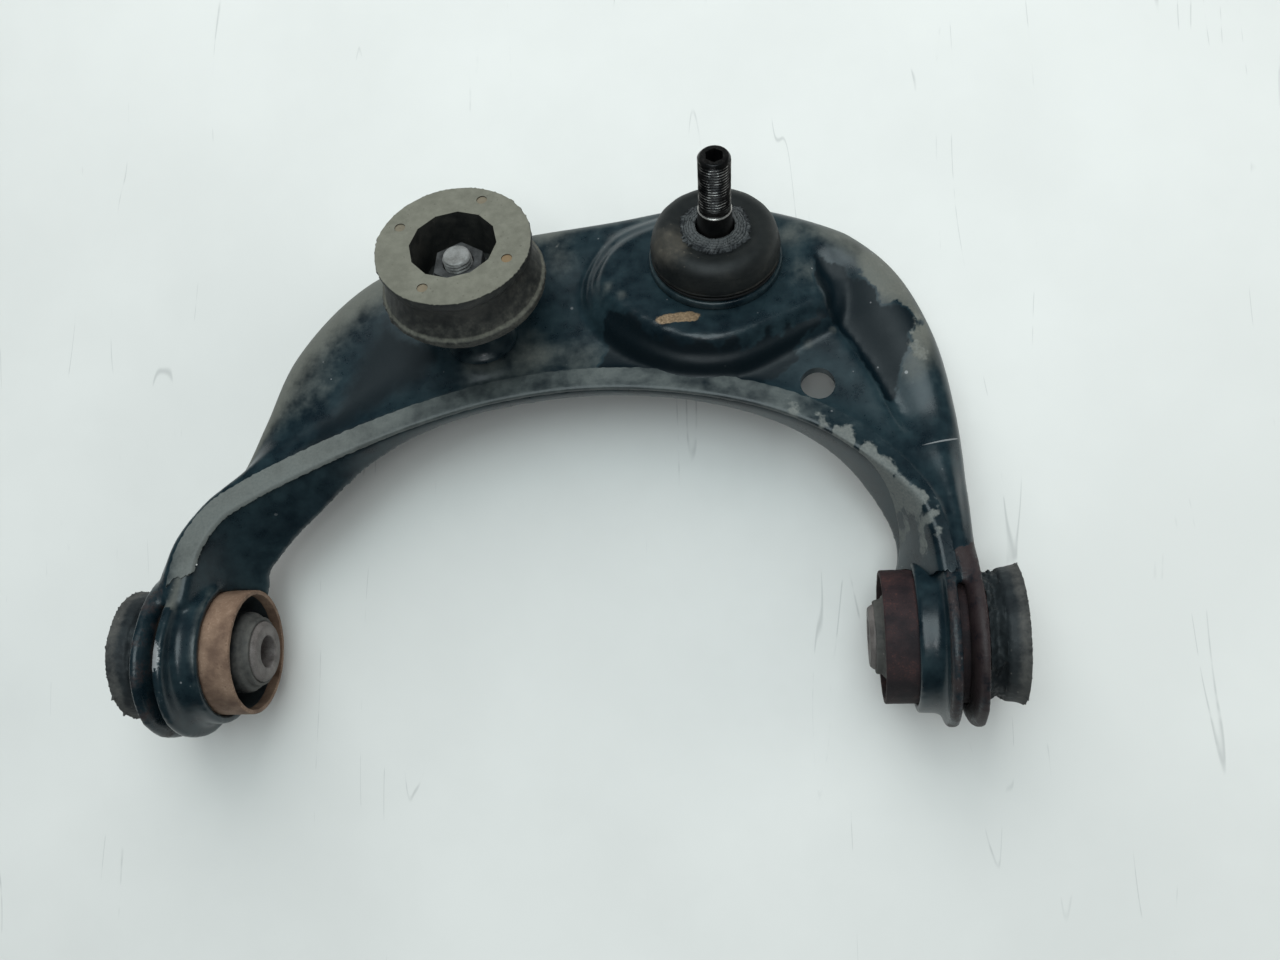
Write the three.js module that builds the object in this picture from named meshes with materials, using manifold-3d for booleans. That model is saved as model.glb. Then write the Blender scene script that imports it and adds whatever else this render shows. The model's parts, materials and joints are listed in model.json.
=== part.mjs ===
// Suspension control arm: a pressed steel arm with two rubber pivot bushes, a ball joint
// and a bump stop, lying on its bushes and the ball joint's cover.
//
// Arm axes, used while modelling: X along the pivot axis, Z up the ball joint side,
// Y from the pivot axis to the ball joint, origin on the pivot axis midway between the legs.
// The last step leans the whole arm about X until it rests, and centres it on the ground.
import * as THREE from 'three';
import { mergeVertices } from 'three/addons/utils/BufferGeometryUtils.js';
import Module from 'manifold-3d';

const wasm = await Module();
wasm.setup();

// ---- driving dimensions, mm and degrees -------------------------------------------------
const GAP = 0.3;                // air left between touching pieces
const SHEET = 3.0;              // arm sheet thickness

const EAR_R = 32.4;             // both ears of a leg
const INNER_EAR = [140.0, 144.4];   // |x| of the inner ear's faces
const OUTER_EAR = [147.6, 151.2];   // |x| of the outer ear's faces
const EAR_FLARE = 2.6;          // the outer ear's rim turns outboard by this much
const COLLAR_R = 27.4;          // collar drawn inboard from the inner ear
const COLLAR_X = 130.6;         // |x| of the collar's end

const SLEEVE_R = 24.0;          // bush outer sleeve
const SLEEVE_WALL = 1.8;
const SLEEVE_X = [119.7, 154.6];
const CORE_R = 11.7;            // bush inner sleeve
const CORE_BORE_R = 6.2;
const CORE_X = [115.2, 170.4];
const LIP_R = 24.5;             // bulged rubber lip
const LIP_X = [157.4, 168.2];

const JOINT_AT = [64.0, 129.0, 56.5];   // ball centre
const JOINT_LEAN = 4.3;                 // ball joint axis leans towards +X
const SEAT_Z = 8.0;                     // platform top above the ball centre
const BALL_R = 11.5;
const STUD_TOP = 60.0;                  // stud end above the ball centre
const THREAD_R = 6.0;
const TAPER_R = 7.1;
const HEX_AF = 6.0;

const BUMP_AT = [-27.4, 107.2, 51.5];   // bump stop axis at the arm's floor
const BUMP_LEAN = 2.6;                  // bump stop axis leans towards +X
const BUMP_TOP = 53.5;                  // ring face above the floor
const BUMP_R = 28.1;
const BUMP_HOLLOW_R = 16.0;
const PAD_R = 15.5;                     // flat pad under the bump stop

const FLOOR_HOLE_AT = [101, 80.5];      // plain hole in the arm's floor
const FLOOR_HOLE_R = 6.3;

const STATIONS = 32;                    // cross-sections along the arm
const RING = 24;                        // sides on turned pieces

// ---- solids -----------------------------------------------------------------------------
function toSolid(geometry) {
  const bare = geometry.clone();
  for (const name of ['normal', 'uv', 'color']) {
    bare.deleteAttribute(name);
  }
  const merged = mergeVertices(bare, 1e-4);
  return new wasm.Manifold(new wasm.Mesh({
    numProp: 3,
    vertProperties: new Float32Array(merged.attributes.position.array),
    triVerts: new Uint32Array(merged.index.array),
  }));
}

function toGeometry(solid) {
  const mesh = solid.getMesh();
  const geometry = new THREE.BufferGeometry();
  geometry.setAttribute('position', new THREE.BufferAttribute(mesh.vertProperties, 3));
  geometry.setIndex(new THREE.BufferAttribute(mesh.triVerts, 1));
  geometry.computeVertexNormals();
  return geometry;
}

// A closed skin over rows of points: every row is one closed loop with the same count.
function skin(rows) {
  const count = rows[0].length;
  const points = rows.flat();
  const index = [];
  for (let r = 0; r + 1 < rows.length; r += 1) {
    for (let k = 0; k < count; k += 1) {
      const a = r * count + k;
      const b = r * count + (k + 1) % count;
      index.push(a, b, b + count, a, b + count, a + count);
    }
  }
  const cap = (row, flip) => {
    const flat = rows[row].map((p) => capPoint(p, rows[row]));
    for (const [a, b, c] of THREE.ShapeUtils.triangulateShape(flat, [])) {
      const base = row * count;
      index.push(base + a, base + (flip ? c : b), base + (flip ? b : c));
    }
  };
  cap(0, true);
  cap(rows.length - 1, false);
  const geometry = new THREE.BufferGeometry();
  const flatPoints = points.flatMap((p) => [p.x, p.y, p.z]);
  geometry.setAttribute('position', new THREE.Float32BufferAttribute(flatPoints, 3));
  geometry.setIndex(index);
  return outward(geometry);
}

// A row's point in the plane of that row, for triangulating its cap.
function capPoint(point, row) {
  const normal = new THREE.Vector3();
  for (let k = 0; k < row.length; k += 1) {
    normal.add(new THREE.Vector3().crossVectors(row[k], row[(k + 1) % row.length]));
  }
  normal.normalize();
  const side = new THREE.Vector3(0.31, 0.47, 0.83).cross(normal).normalize();
  const up = new THREE.Vector3().crossVectors(normal, side);
  return new THREE.Vector2(point.dot(side), point.dot(up));
}

// Turn every face round if the closed mesh is inside out.
function outward(geometry) {
  const p = geometry.attributes.position;
  const index = Array.from(geometry.index.array);
  const at = (k) => new THREE.Vector3().fromBufferAttribute(p, index[k]);
  let volume = 0;
  for (let k = 0; k < index.length; k += 3) {
    volume += at(k).dot(new THREE.Vector3().crossVectors(at(k + 1), at(k + 2)));
  }
  if (volume < 0) {
    index.reverse();
  }
  geometry.setIndex(index);
  return geometry;
}

// Turned piece: a closed outline of [radius, height], about +Z.
function turned(outline, sides = RING) {
  const ring = outline.map(([r, z]) => new THREE.Vector2(r, z));
  ring.push(ring[0].clone());
  const geometry = new THREE.LatheGeometry(ring, sides);
  geometry.rotateX(Math.PI / 2);
  for (const name of ['normal', 'uv']) {
    geometry.deleteAttribute(name);
  }
  return outward(dropSlivers(mergeVertices(geometry, 1e-4)));
}

// Faces that collapsed onto the axis are left out.
function dropSlivers(geometry) {
  const old = geometry.index.array;
  const kept = [];
  for (let k = 0; k < old.length; k += 3) {
    const [a, b, c] = [old[k], old[k + 1], old[k + 2]];
    if (a !== b && b !== c && c !== a) {
      kept.push(a, b, c);
    }
  }
  geometry.setIndex(kept);
  return geometry;
}

// Turned piece about the pivot axis: outline of [radius, |x|], on the left or right leg.
function turnedOnPivot(outline, side, sides = RING) {
  const geometry = turned(outline, sides);
  geometry.rotateY(side * Math.PI / 2);
  return geometry;
}

function cylinder(radius, low, high, sides = RING) {
  const geometry = new THREE.CylinderGeometry(radius, radius, high - low, sides);
  geometry.rotateX(Math.PI / 2);
  geometry.translate(0, 0, (low + high) / 2);
  return geometry;
}

function cut(base, ...tools) {
  let solid = toSolid(base);
  for (const tool of tools) {
    solid = solid.subtract(toSolid(tool));
  }
  return toGeometry(solid);
}

// ---- the arm's pressing -------------------------------------------------------------------
// Plan of the crest's outer edge and of the ridge's outer shoulder, paired from the left
// leg's end to the right leg's. The third number places the valley between them.
const PLAN = [
  { crest: [-144.0, 13], ridge: [-150.0, 11], valley: 0.50 },
  { crest: [-141.5, 27], ridge: [-147, 31], valley: 0.50 },
  { crest: [-132, 42], ridge: [-136, 46], valley: 0.48 },
  { crest: [-118, 51], ridge: [-124.5, 60.5], valley: 0.42 },
  { crest: [-99, 60], ridge: [-116, 81], valley: 0.36 },
  { crest: [-77, 69], ridge: [-105, 107], valley: 0.32 },
  { crest: [-50, 78], ridge: [-76, 135], valley: 0.42 },
  { crest: [-20, 85], ridge: [-30, 149], valley: 0.74 },
  { crest: [17, 88], ridge: [22, 156], valley: 0.80 },
  { crest: [55, 84.5], ridge: [66, 161], valley: 0.82 },
  { crest: [88, 76], ridge: [104, 148], valley: 0.66 },
  { crest: [112, 64], ridge: [129, 129], valley: 0.54 },
  { crest: [128, 50], ridge: [142.8, 103.5], valley: 0.46 },
  { crest: [138.5, 36], ridge: [149, 75], valley: 0.44 },
  { crest: [142.5, 24], ridge: [151, 45], valley: 0.48 },
  { crest: [144.0, 13], ridge: [150.5, 11], valley: 0.50 },
];
const CREST_WIDTH = 6.4;
const RIDGE_RISE = 3.2;         // ridge top above its shoulder
const CREST_RISE = 3.0;         // crest above the floor beside it
const OUTER_WALL = 13;          // outer wall below the shoulder
const ARCH_WALL = 7;            // inner wall's depth at the arch
const LEG_WALL = 40;            // and at the leg ends

const crestHeight = (y) => 27 + 0.27 * y;
const ridgeHeight = (y) => THREE.MathUtils.clamp(10 + 0.34 * y, 26.5, 58.4);

function planCurve(name) {
  const points = PLAN.map((pair) => new THREE.Vector3(pair[name][0], pair[name][1], 0));
  return new THREE.CatmullRomCurve3(points, false, 'centripetal');
}

const crestPlan = planCurve('crest');
const ridgePlan = planCurve('ridge');

function valleyAt(u) {
  const place = u * (PLAN.length - 1);
  const k = Math.min(Math.floor(place), PLAN.length - 2);
  return THREE.MathUtils.lerp(PLAN[k].valley, PLAN[k + 1].valley, place - k);
}

// Share of leg wall at a station: 0 at the arch, 1 at the leg ends.
function legShare(u) {
  const fromEnd = Math.min(u, 1 - u);
  return 1 - THREE.MathUtils.smoothstep(fromEnd, 0.02, 0.44);
}

// The inner wall leans in towards the bushes and back under the arch, more on the left leg.
function wallLean(u) {
  if (u < 0.5) {
    return THREE.MathUtils.lerp(0.36, -0.35, THREE.MathUtils.smoothstep(u, 0.26, 0.44));
  }
  return THREE.MathUtils.lerp(-0.35, 0.32, THREE.MathUtils.smoothstep(u, 0.58, 1.0));
}

// Mid-surface of the sheet at one station, from the inner wall's edge to the outer wall's.
function section(u) {
  const crest = crestPlan.getPoint(u);
  const ridge = ridgePlan.getPoint(u);
  const across = ridge.clone().sub(crest);
  const width = across.length();
  const out = across.clone().normalize();
  const along = crestPlan.getTangent(u);
  const square = new THREE.Vector3(-along.y, along.x, 0);
  const zCrest = crestHeight(crest.y);
  const zRidge = ridgeHeight(ridge.y);
  const share = legShare(u);
  const depth = THREE.MathUtils.lerp(ARCH_WALL, LEG_WALL, share);
  const lean = wallLean(u);
  const sunk = CREST_RISE * Math.min(1, width / 30);
  const point = (base, along2, offset, z) => {
    const p = base.clone().addScaledVector(along2, offset);
    return p.setZ(z);
  };
  const valley = width * valleyAt(u);
  const floorZ = (t) => crestHeight(crest.y + out.y * t) - sunk;
  const toValley = Math.min(5, width * 0.22);
  const slope = width - valley;
  return [
    point(crest, square, -CREST_WIDTH - depth * lean, zCrest - depth),
    point(crest, square, -CREST_WIDTH - depth * lean * 0.3, zCrest - depth * 0.4),
    point(crest, square, -CREST_WIDTH + 0.4, zCrest - 1.2),
    point(crest, square, -CREST_WIDTH + 1.6, zCrest),
    point(crest, out, -0.8, zCrest),
    point(crest, out, toValley, floorZ(toValley)),
    point(crest, out, valley * 0.6 + toValley * 0.4, floorZ(valley * 0.6) - sunk * 0.2),
    point(crest, out, valley, floorZ(valley) - sunk * 0.2),
    point(crest, out, width - slope * 0.62, THREE.MathUtils.lerp(floorZ(valley), zRidge + 2, 0.55)),
    point(ridge, out, -slope * 0.34, zRidge + RIDGE_RISE - 0.6),
    point(ridge, out, -Math.min(5, slope * 0.16), zRidge + RIDGE_RISE * 0.8),
    point(ridge, out, 0, zRidge),
    point(ridge, out, 1.2, zRidge - 4),
    point(ridge, out, 2.2, zRidge - OUTER_WALL),
  ];
}

// The sheet is its mid-surface moved half a thickness each way, closed round the edges.
function pressedSheet() {
  const grid = [];
  for (let s = 0; s <= STATIONS; s += 1) {
    grid.push(section(s / STATIONS));
  }
  const last = grid[0].length - 1;
  const rows = grid.map((row, s) => {
    const before = grid[Math.max(s - 1, 0)];
    const after = grid[Math.min(s + 1, STATIONS)];
    const moved = row.map((p, k) => {
      const down = after[k].clone().sub(before[k]);
      const over = row[Math.min(k + 1, last)].clone().sub(row[Math.max(k - 1, 0)]);
      return new THREE.Vector3().crossVectors(down, over).normalize();
    });
    const top = row.map((p, k) => p.clone().addScaledVector(moved[k], SHEET / 2));
    const under = row.map((p, k) => p.clone().addScaledVector(moved[k], -SHEET / 2));
    return [...top, ...under.reverse()];
  });
  return skin(rows);
}

// Matrix from the ball joint's axes (origin at the ball centre) to the arm's.
const jointMatrix = new THREE.Matrix4()
  .makeTranslation(...JOINT_AT)
  .multiply(new THREE.Matrix4().makeRotationY(THREE.MathUtils.degToRad(JOINT_LEAN)));
const bumpMatrix = new THREE.Matrix4()
  .makeTranslation(...BUMP_AT)
  .multiply(new THREE.Matrix4().makeRotationY(THREE.MathUtils.degToRad(BUMP_LEAN)));

// Raised platform under the ball joint, in the ball joint's axes: its rim as [x, y].
const SEAT_RIM = [
  [-47, -6], [-36, -18], [-22, -31], [-7, -37.5], [8, -37], [20, -31.5], [33, -24],
  [41, -19], [42.5, -8], [36, 5], [24, 16], [6, 23], [-14, 20], [-36, 11],
];

function seatBlock(inset, top, depth, spread) {
  const rim = SEAT_RIM.map(([x, y]) => new THREE.Vector3(x, y, 0));
  const curve = new THREE.CatmullRomCurve3(rim, true, 'centripetal');
  const loop = curve.getPoints(26).slice(0, -1);
  const row = (grow, z) => loop.map((p) => {
    const r = Math.hypot(p.x, p.y);
    return new THREE.Vector3(p.x * (r + grow) / r, p.y * (r + grow) / r, z(p));
  });
  const foot = (p) => crestHeight(p.y + JOINT_AT[1]) - JOINT_AT[2] - depth;
  return skin([
    row(spread - inset, foot),
    row(spread * 0.35 - inset, (p) => THREE.MathUtils.lerp(foot(p) + depth, top, 0.5)),
    row(spread * 0.1 - inset, () => top - 1.6),
    row(-1.6 - inset, () => top),
  ]);
}

function leg(side) {
  const flat = [
    [SLEEVE_R + GAP, INNER_EAR[1]], [EAR_R, INNER_EAR[1]],
    [EAR_R, INNER_EAR[0]], [COLLAR_R + 1.5, INNER_EAR[0]], [COLLAR_R, INNER_EAR[0] - 1.5],
    [COLLAR_R, COLLAR_X], [SLEEVE_R + GAP, COLLAR_X],
  ];
  const flared = [
    [SLEEVE_R + GAP, OUTER_EAR[0]], [EAR_R - 3.4, OUTER_EAR[0]],
    [EAR_R, OUTER_EAR[0] + EAR_FLARE], [EAR_R, OUTER_EAR[1] + EAR_FLARE],
    [EAR_R - 5.0, OUTER_EAR[1]], [SLEEVE_R + GAP, OUTER_EAR[1]],
  ];
  return [turnedOnPivot(flat, side), turnedOnPivot(flared, side)];
}

function armPressing() {
  let solid = toSolid(pressedSheet());
  const block = seatBlock(0, SEAT_Z, 1.0, 4.5);
  const hollow = seatBlock(SHEET, SEAT_Z - SHEET, 24, 4.5);
  const bore = cylinder(20.7 + GAP, -30, SEAT_Z + 5);
  const spotFace = cylinder(27, SEAT_Z + 0.02, SEAT_Z + 14);
  const place = (geometry) => toSolid(geometry.applyMatrix4(jointMatrix));
  solid = solid.add(place(block)).subtract(place(hollow)).subtract(place(bore))
    .subtract(place(spotFace));
  for (const side of [-1, 1]) {
    const clear = toSolid(turnedOnPivot(
      [[0, 110], [SLEEVE_R + 3.5, 110], [SLEEVE_R + 3.5, 175], [0, 175]], side));
    solid = solid.subtract(clear);
  }
  for (const side of [-1, 1]) {
    for (const ear of leg(side)) {
      solid = solid.add(toSolid(ear));
    }
  }
  const hole = cylinder(FLOOR_HOLE_R, 0, 80, 24);
  hole.translate(FLOOR_HOLE_AT[0], FLOOR_HOLE_AT[1], 0);
  const pad = cylinder(PAD_R, -2.2, 1.9).applyMatrix4(bumpMatrix);
  const overPad = cylinder(PAD_R - 1, 1.92, 12).applyMatrix4(bumpMatrix);
  const fixing = cylinder(6.4, -8, 8, 24).applyMatrix4(bumpMatrix);
  solid = solid.add(toSolid(pad)).subtract(toSolid(overPad)).subtract(toSolid(fixing));
  solid = solid.subtract(toSolid(hole));
  const pieces = solid.decompose().sort((a, b) => b.volume() - a.volume());
  return toGeometry(pieces[0]);
}

// ---- pivot bushes -------------------------------------------------------------------------
const sleeveInside = SLEEVE_R - SLEEVE_WALL;

const outerSleeve = (side) => turnedOnPivot([
  [sleeveInside, SLEEVE_X[0]], [SLEEVE_R - 0.5, SLEEVE_X[0]],
  [SLEEVE_R, SLEEVE_X[0] + 0.5], [SLEEVE_R, SLEEVE_X[1]], [sleeveInside, SLEEVE_X[1]],
], side);

const innerSleeve = (side) => turnedOnPivot([
  [CORE_BORE_R, CORE_X[0]], [CORE_R - 0.8, CORE_X[0]], [CORE_R, CORE_X[0] + 0.8],
  [CORE_R, CORE_X[1]], [CORE_BORE_R, CORE_X[1]],
], side);

// Rubber: stepped cone on the inner sleeve, ring-shaped hollow, web, and the bulged lip.
const bushRubber = (side) => turnedOnPivot([
  [CORE_R + GAP, 117.4], [13.2, 117.4], [13.2, 120.4], [15.4, 121.2], [15.6, 139],
  [19.2, 139], [20.6, 132], [sleeveInside - GAP, 125],
  [sleeveInside - GAP, SLEEVE_X[1] + GAP], [19.8, SLEEVE_X[1] + GAP],
  [21.4, LIP_X[0]], [LIP_R, LIP_X[0] + 2], [LIP_R, LIP_X[1] - 1.4],
  [LIP_R - 1.4, LIP_X[1]], [20.6, LIP_X[1]], [20.6, LIP_X[1] - 2.2], [15.2, LIP_X[1] - 2.2],
  [15.2, LIP_X[1]], [CORE_R + GAP, LIP_X[1]],
], side);

const bushStopRing = (side) => turnedOnPivot([
  [15.2 + GAP, LIP_X[1] - 2.2 + GAP], [20.6 - GAP, LIP_X[1] - 2.2 + GAP],
  [20.6 - GAP, LIP_X[1] - 0.1], [15.2 + GAP, LIP_X[1] - 0.1],
], side);

// ---- ball joint, in its own axes ----------------------------------------------------------
const arc = (radius, fromDeg, toDeg, steps) => {
  const points = [];
  for (let k = 0; k <= steps; k += 1) {
    const angle = THREE.MathUtils.degToRad(fromDeg + (toDeg - fromDeg) * k / steps);
    points.push([radius * Math.sin(angle), radius * Math.cos(angle)]);
  }
  return points;
};

function ballStud() {
  const body = turned([
    [0, -BALL_R * Math.cos(Math.PI / 9)], ...arc(BALL_R, 160, 32, 8),
    [6.0, 11.5], [6.0, 14.5], [TAPER_R, 19.5], [THREAD_R + 0.15, 34.6],
    [THREAD_R - 0.7, 35.2], [THREAD_R - 0.7, 36.6], [THREAD_R, 37.4],
    [THREAD_R, STUD_TOP - 1.2], [THREAD_R - 1.1, STUD_TOP], [0, STUD_TOP],
  ], 24);
  const socket = cylinder(HEX_AF / 2 / Math.cos(Math.PI / 6), STUD_TOP - 6.5, STUD_TOP + 2, 6);
  return cut(body, socket);
}

const bearingShell = () => turned([
  ...arc(14.4, 66, 148, 5), ...arc(12.1, 146, 60, 5),
], 20);

const jointHousing = () => turned([
  ...arc(14.9, 58, 90, 4), [14.9, -16.3], [17.9, -16.3], [17.9, -19.6], [18.6, -20.2],
  [20.0, -20.2], [20.7, -19.4], [20.7, SEAT_Z + GAP], [25.3, SEAT_Z + GAP],
  [25.3, SEAT_Z + 2.6], [24.6, SEAT_Z + 3.2], [21.4, SEAT_Z + 3.2], [21.4, SEAT_Z + 5.2],
  [15.8, SEAT_Z + 5.2],
]);

const pressureDisc = () => turned([[4, -14.9], [14.4, -15.5], [14.4, -16.2], [4, -15.9]], 24);

const jointCover = () => turned([
  [0, -18.4], [0, -16.7], [17.6, -16.7], [17.6, -18.8], [14, -18.8],
]);

const clampRing = () => turned([
  [22.0, SEAT_Z + 3.5], [24.2, SEAT_Z + 3.5], [24.6, SEAT_Z + 4.3], [24.2, SEAT_Z + 5.1],
  [22.0, SEAT_Z + 5.1],
]);

const dustBoot = () => turned([
  [21.0, SEAT_Z + 5.5], [24.2, SEAT_Z + 5.5], [24.4, SEAT_Z + 7.5], [23.8, 19.5],
  [22.6, 23.2], [20.4, 25.2], [17.0, 25.6], [13.8, 23.4], [8.6, 23.6], [8.6, 21.8],
  [14.2, 21.4], [17.4, 23.6], [19.6, 23.2], [21.4, 19.0], [22.4, 15.2],
]);

const lipRing = () => turned([
  [7.4, 24.0], [13.0, 24.0], [13.5, 24.8], [12.6, 25.8], [10.6, 27.0], [7.4, 27.4],
]);

// ---- bump stop, in its own axes -----------------------------------------------------------
const SPIGOT_TOP = 28.0;
const SEAT_PLATE = [SPIGOT_TOP + GAP, SPIGOT_TOP + 2.0];
const RUBBER_FOOT = SEAT_PLATE[1] + GAP;

const bumpSpigot = () => turned([
  [6.4, 2.2], [13.4, 2.2], [13.4, 3.0], [10.6, 4.6], [9.2, 7.4], [8.8, 12],
  [8.8, SPIGOT_TOP], [6.4, SPIGOT_TOP],
], 32);

const bumpSeat = () => turned([
  [6.4, SEAT_PLATE[0]], [24.0, SEAT_PLATE[0]], [24.0, SEAT_PLATE[1]], [6.4, SEAT_PLATE[1]],
]);

function bumpRubber() {
  const z = BUMP_TOP;
  const body = turned([
    [6.8, RUBBER_FOOT], [28.6, RUBBER_FOOT], [29.6, z - 21.6], [30.2, z - 20.4],
    [30.2, z - 18.4], [28.4, z - 14.0], [25.8, z - 8.0], [BUMP_R, z - 1.8],
    [BUMP_R, z], [6.8, z],
  ], 32);
  const hollow = cylinder(BUMP_HOLLOW_R, RUBBER_FOOT + 3.4, z + 2, 12);
  return cut(body, hollow);
}

const hollowFloor = RUBBER_FOOT + 3.4;

const bumpWasher = () => turned([
  [6.4, hollowFloor + GAP], [12.0, hollowFloor + GAP], [12.0, hollowFloor + 2.4],
  [6.4, hollowFloor + 2.4],
], 32);

function bumpNut() {
  const low = hollowFloor + 2.4 + GAP;
  const body = cylinder(17 / 2 / Math.cos(Math.PI / 6), low, low + 8, 6);
  const bore = cylinder(5.6, low - 1, low + 9, 24);
  return cut(body, bore);
}

const bumpStud = () => turned([
  [0, -6.5], [4.6, -6.5], [5.3, -5.8], [5.3, BUMP_TOP - 6.2], [4.5, BUMP_TOP - 5.2],
  [0, BUMP_TOP - 5.2],
], 24);

// ---- assembly -----------------------------------------------------------------------------
const finish = (color, roughness, metalness) => ({ color, roughness, metalness });
const PAINT = finish(0x1e2830, 0.5, 0.2);
const RUST = finish(0x82695a, 0.85, 0.3);
const RUBBER = finish(0x1a1b1c, 0.8, 0);
const GREY_RUBBER = finish(0x6f6c62, 0.9, 0);
const STEEL = finish(0x5a5650, 0.45, 0.8);
const ZINC = finish(0x96968f, 0.5, 0.7);
const POLYMER = finish(0xd8d4c6, 0.5, 0);

const arm = new THREE.Group();

function addPiece(name, geometry, look, matrix) {
  const mesh = new THREE.Mesh(geometry, new THREE.MeshStandardMaterial(look));
  mesh.name = name;
  if (matrix) {
    mesh.applyMatrix4(matrix);
  }
  arm.add(mesh);
}

addPiece('arm_pressing', armPressing(), PAINT);
for (const [label, side] of [['left', -1], ['right', 1]]) {
  addPiece(`bush_outer_sleeve_${label}`, outerSleeve(side), RUST);
  addPiece(`bush_rubber_${label}`, bushRubber(side), RUBBER);
  addPiece(`bush_inner_sleeve_${label}`, innerSleeve(side), RUST);
  addPiece(`bush_stop_ring_${label}`, bushStopRing(side), STEEL);
}
addPiece('joint_housing', jointHousing(), PAINT, jointMatrix);
addPiece('bearing_shell', bearingShell(), POLYMER, jointMatrix);
addPiece('ball_stud', ballStud(), STEEL, jointMatrix);
addPiece('pressure_disc', pressureDisc(), STEEL, jointMatrix);
addPiece('joint_cover', jointCover(), ZINC, jointMatrix);
addPiece('boot_clamp_ring', clampRing(), STEEL, jointMatrix);
addPiece('dust_boot', dustBoot(), RUBBER, jointMatrix);
addPiece('boot_lip_ring', lipRing(), GREY_RUBBER, jointMatrix);
addPiece('bump_spigot', bumpSpigot(), PAINT, bumpMatrix);
addPiece('bump_seat', bumpSeat(), PAINT, bumpMatrix);
addPiece('bump_rubber', bumpRubber(), GREY_RUBBER, bumpMatrix);
addPiece('bump_washer', bumpWasher(), ZINC, bumpMatrix);
addPiece('bump_nut', bumpNut(), ZINC, bumpMatrix);
addPiece('bump_stud', bumpStud(), ZINC, bumpMatrix);

// ---- resting pose -------------------------------------------------------------------------
// Leaning about the pivot axis, the ears' rims stay EAR_R below it. The arm stops at the
// smallest lean that brings any point of its far end down to the same level.
function restingLean() {
  let least = Math.PI / 2;
  for (const mesh of arm.children) {
    const p = mesh.geometry.attributes.position;
    for (let k = 0; k < p.count; k += 1) {
      const point = new THREE.Vector3().fromBufferAttribute(p, k).applyMatrix4(mesh.matrix);
      const reach = Math.hypot(point.y, point.z);
      if (reach > 3 * EAR_R) {
        least = Math.min(least, Math.atan2(point.z, point.y) + Math.asin(EAR_R / reach));
      }
    }
  }
  return least;
}

arm.rotation.x = -restingLean();
arm.updateMatrixWorld(true);
const box = new THREE.Box3().setFromObject(arm, true);
arm.position.set(-(box.min.x + box.max.x) / 2, -(box.min.y + box.max.y) / 2, -box.min.z);

const group = new THREE.Group();
group.name = 'control_arm';
group.add(arm);
export default group;
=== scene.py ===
"""Looks of a pressed steel suspension control arm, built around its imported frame.

Sizes are in millimetres in the axes of each sub-assembly and go to the frame's metres when
a piece is finished. The arm's own axes run X along the pivot axis, Y from the pivot axis
to the ball joint, and Z up the ball joint side.
"""

import json
import logging
import math
from dataclasses import dataclass, field
from enum import Enum
from typing import Callable, Sequence

import bmesh
import bpy
from mathutils import Matrix, Vector, noise
from mathutils.kdtree import KDTree


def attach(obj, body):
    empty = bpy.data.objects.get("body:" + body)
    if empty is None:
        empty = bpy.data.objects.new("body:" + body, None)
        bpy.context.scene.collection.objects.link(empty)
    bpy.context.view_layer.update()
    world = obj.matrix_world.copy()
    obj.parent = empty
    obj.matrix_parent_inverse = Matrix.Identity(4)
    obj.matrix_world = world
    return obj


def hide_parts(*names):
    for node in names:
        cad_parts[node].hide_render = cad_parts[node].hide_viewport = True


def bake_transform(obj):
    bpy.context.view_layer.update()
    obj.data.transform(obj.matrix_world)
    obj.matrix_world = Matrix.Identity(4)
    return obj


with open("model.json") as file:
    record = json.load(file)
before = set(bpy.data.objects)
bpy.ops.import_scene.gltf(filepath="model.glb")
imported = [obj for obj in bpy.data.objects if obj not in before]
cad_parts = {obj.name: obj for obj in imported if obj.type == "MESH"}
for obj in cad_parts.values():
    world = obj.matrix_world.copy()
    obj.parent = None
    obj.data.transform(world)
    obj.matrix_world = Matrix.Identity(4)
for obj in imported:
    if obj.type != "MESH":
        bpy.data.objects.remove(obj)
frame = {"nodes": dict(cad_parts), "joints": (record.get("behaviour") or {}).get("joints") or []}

LOG = logging.getLogger("control_arm")
MM = 0.001
Colour = tuple[float, float, float]
Outline = Sequence[tuple[float, ...]]


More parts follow.
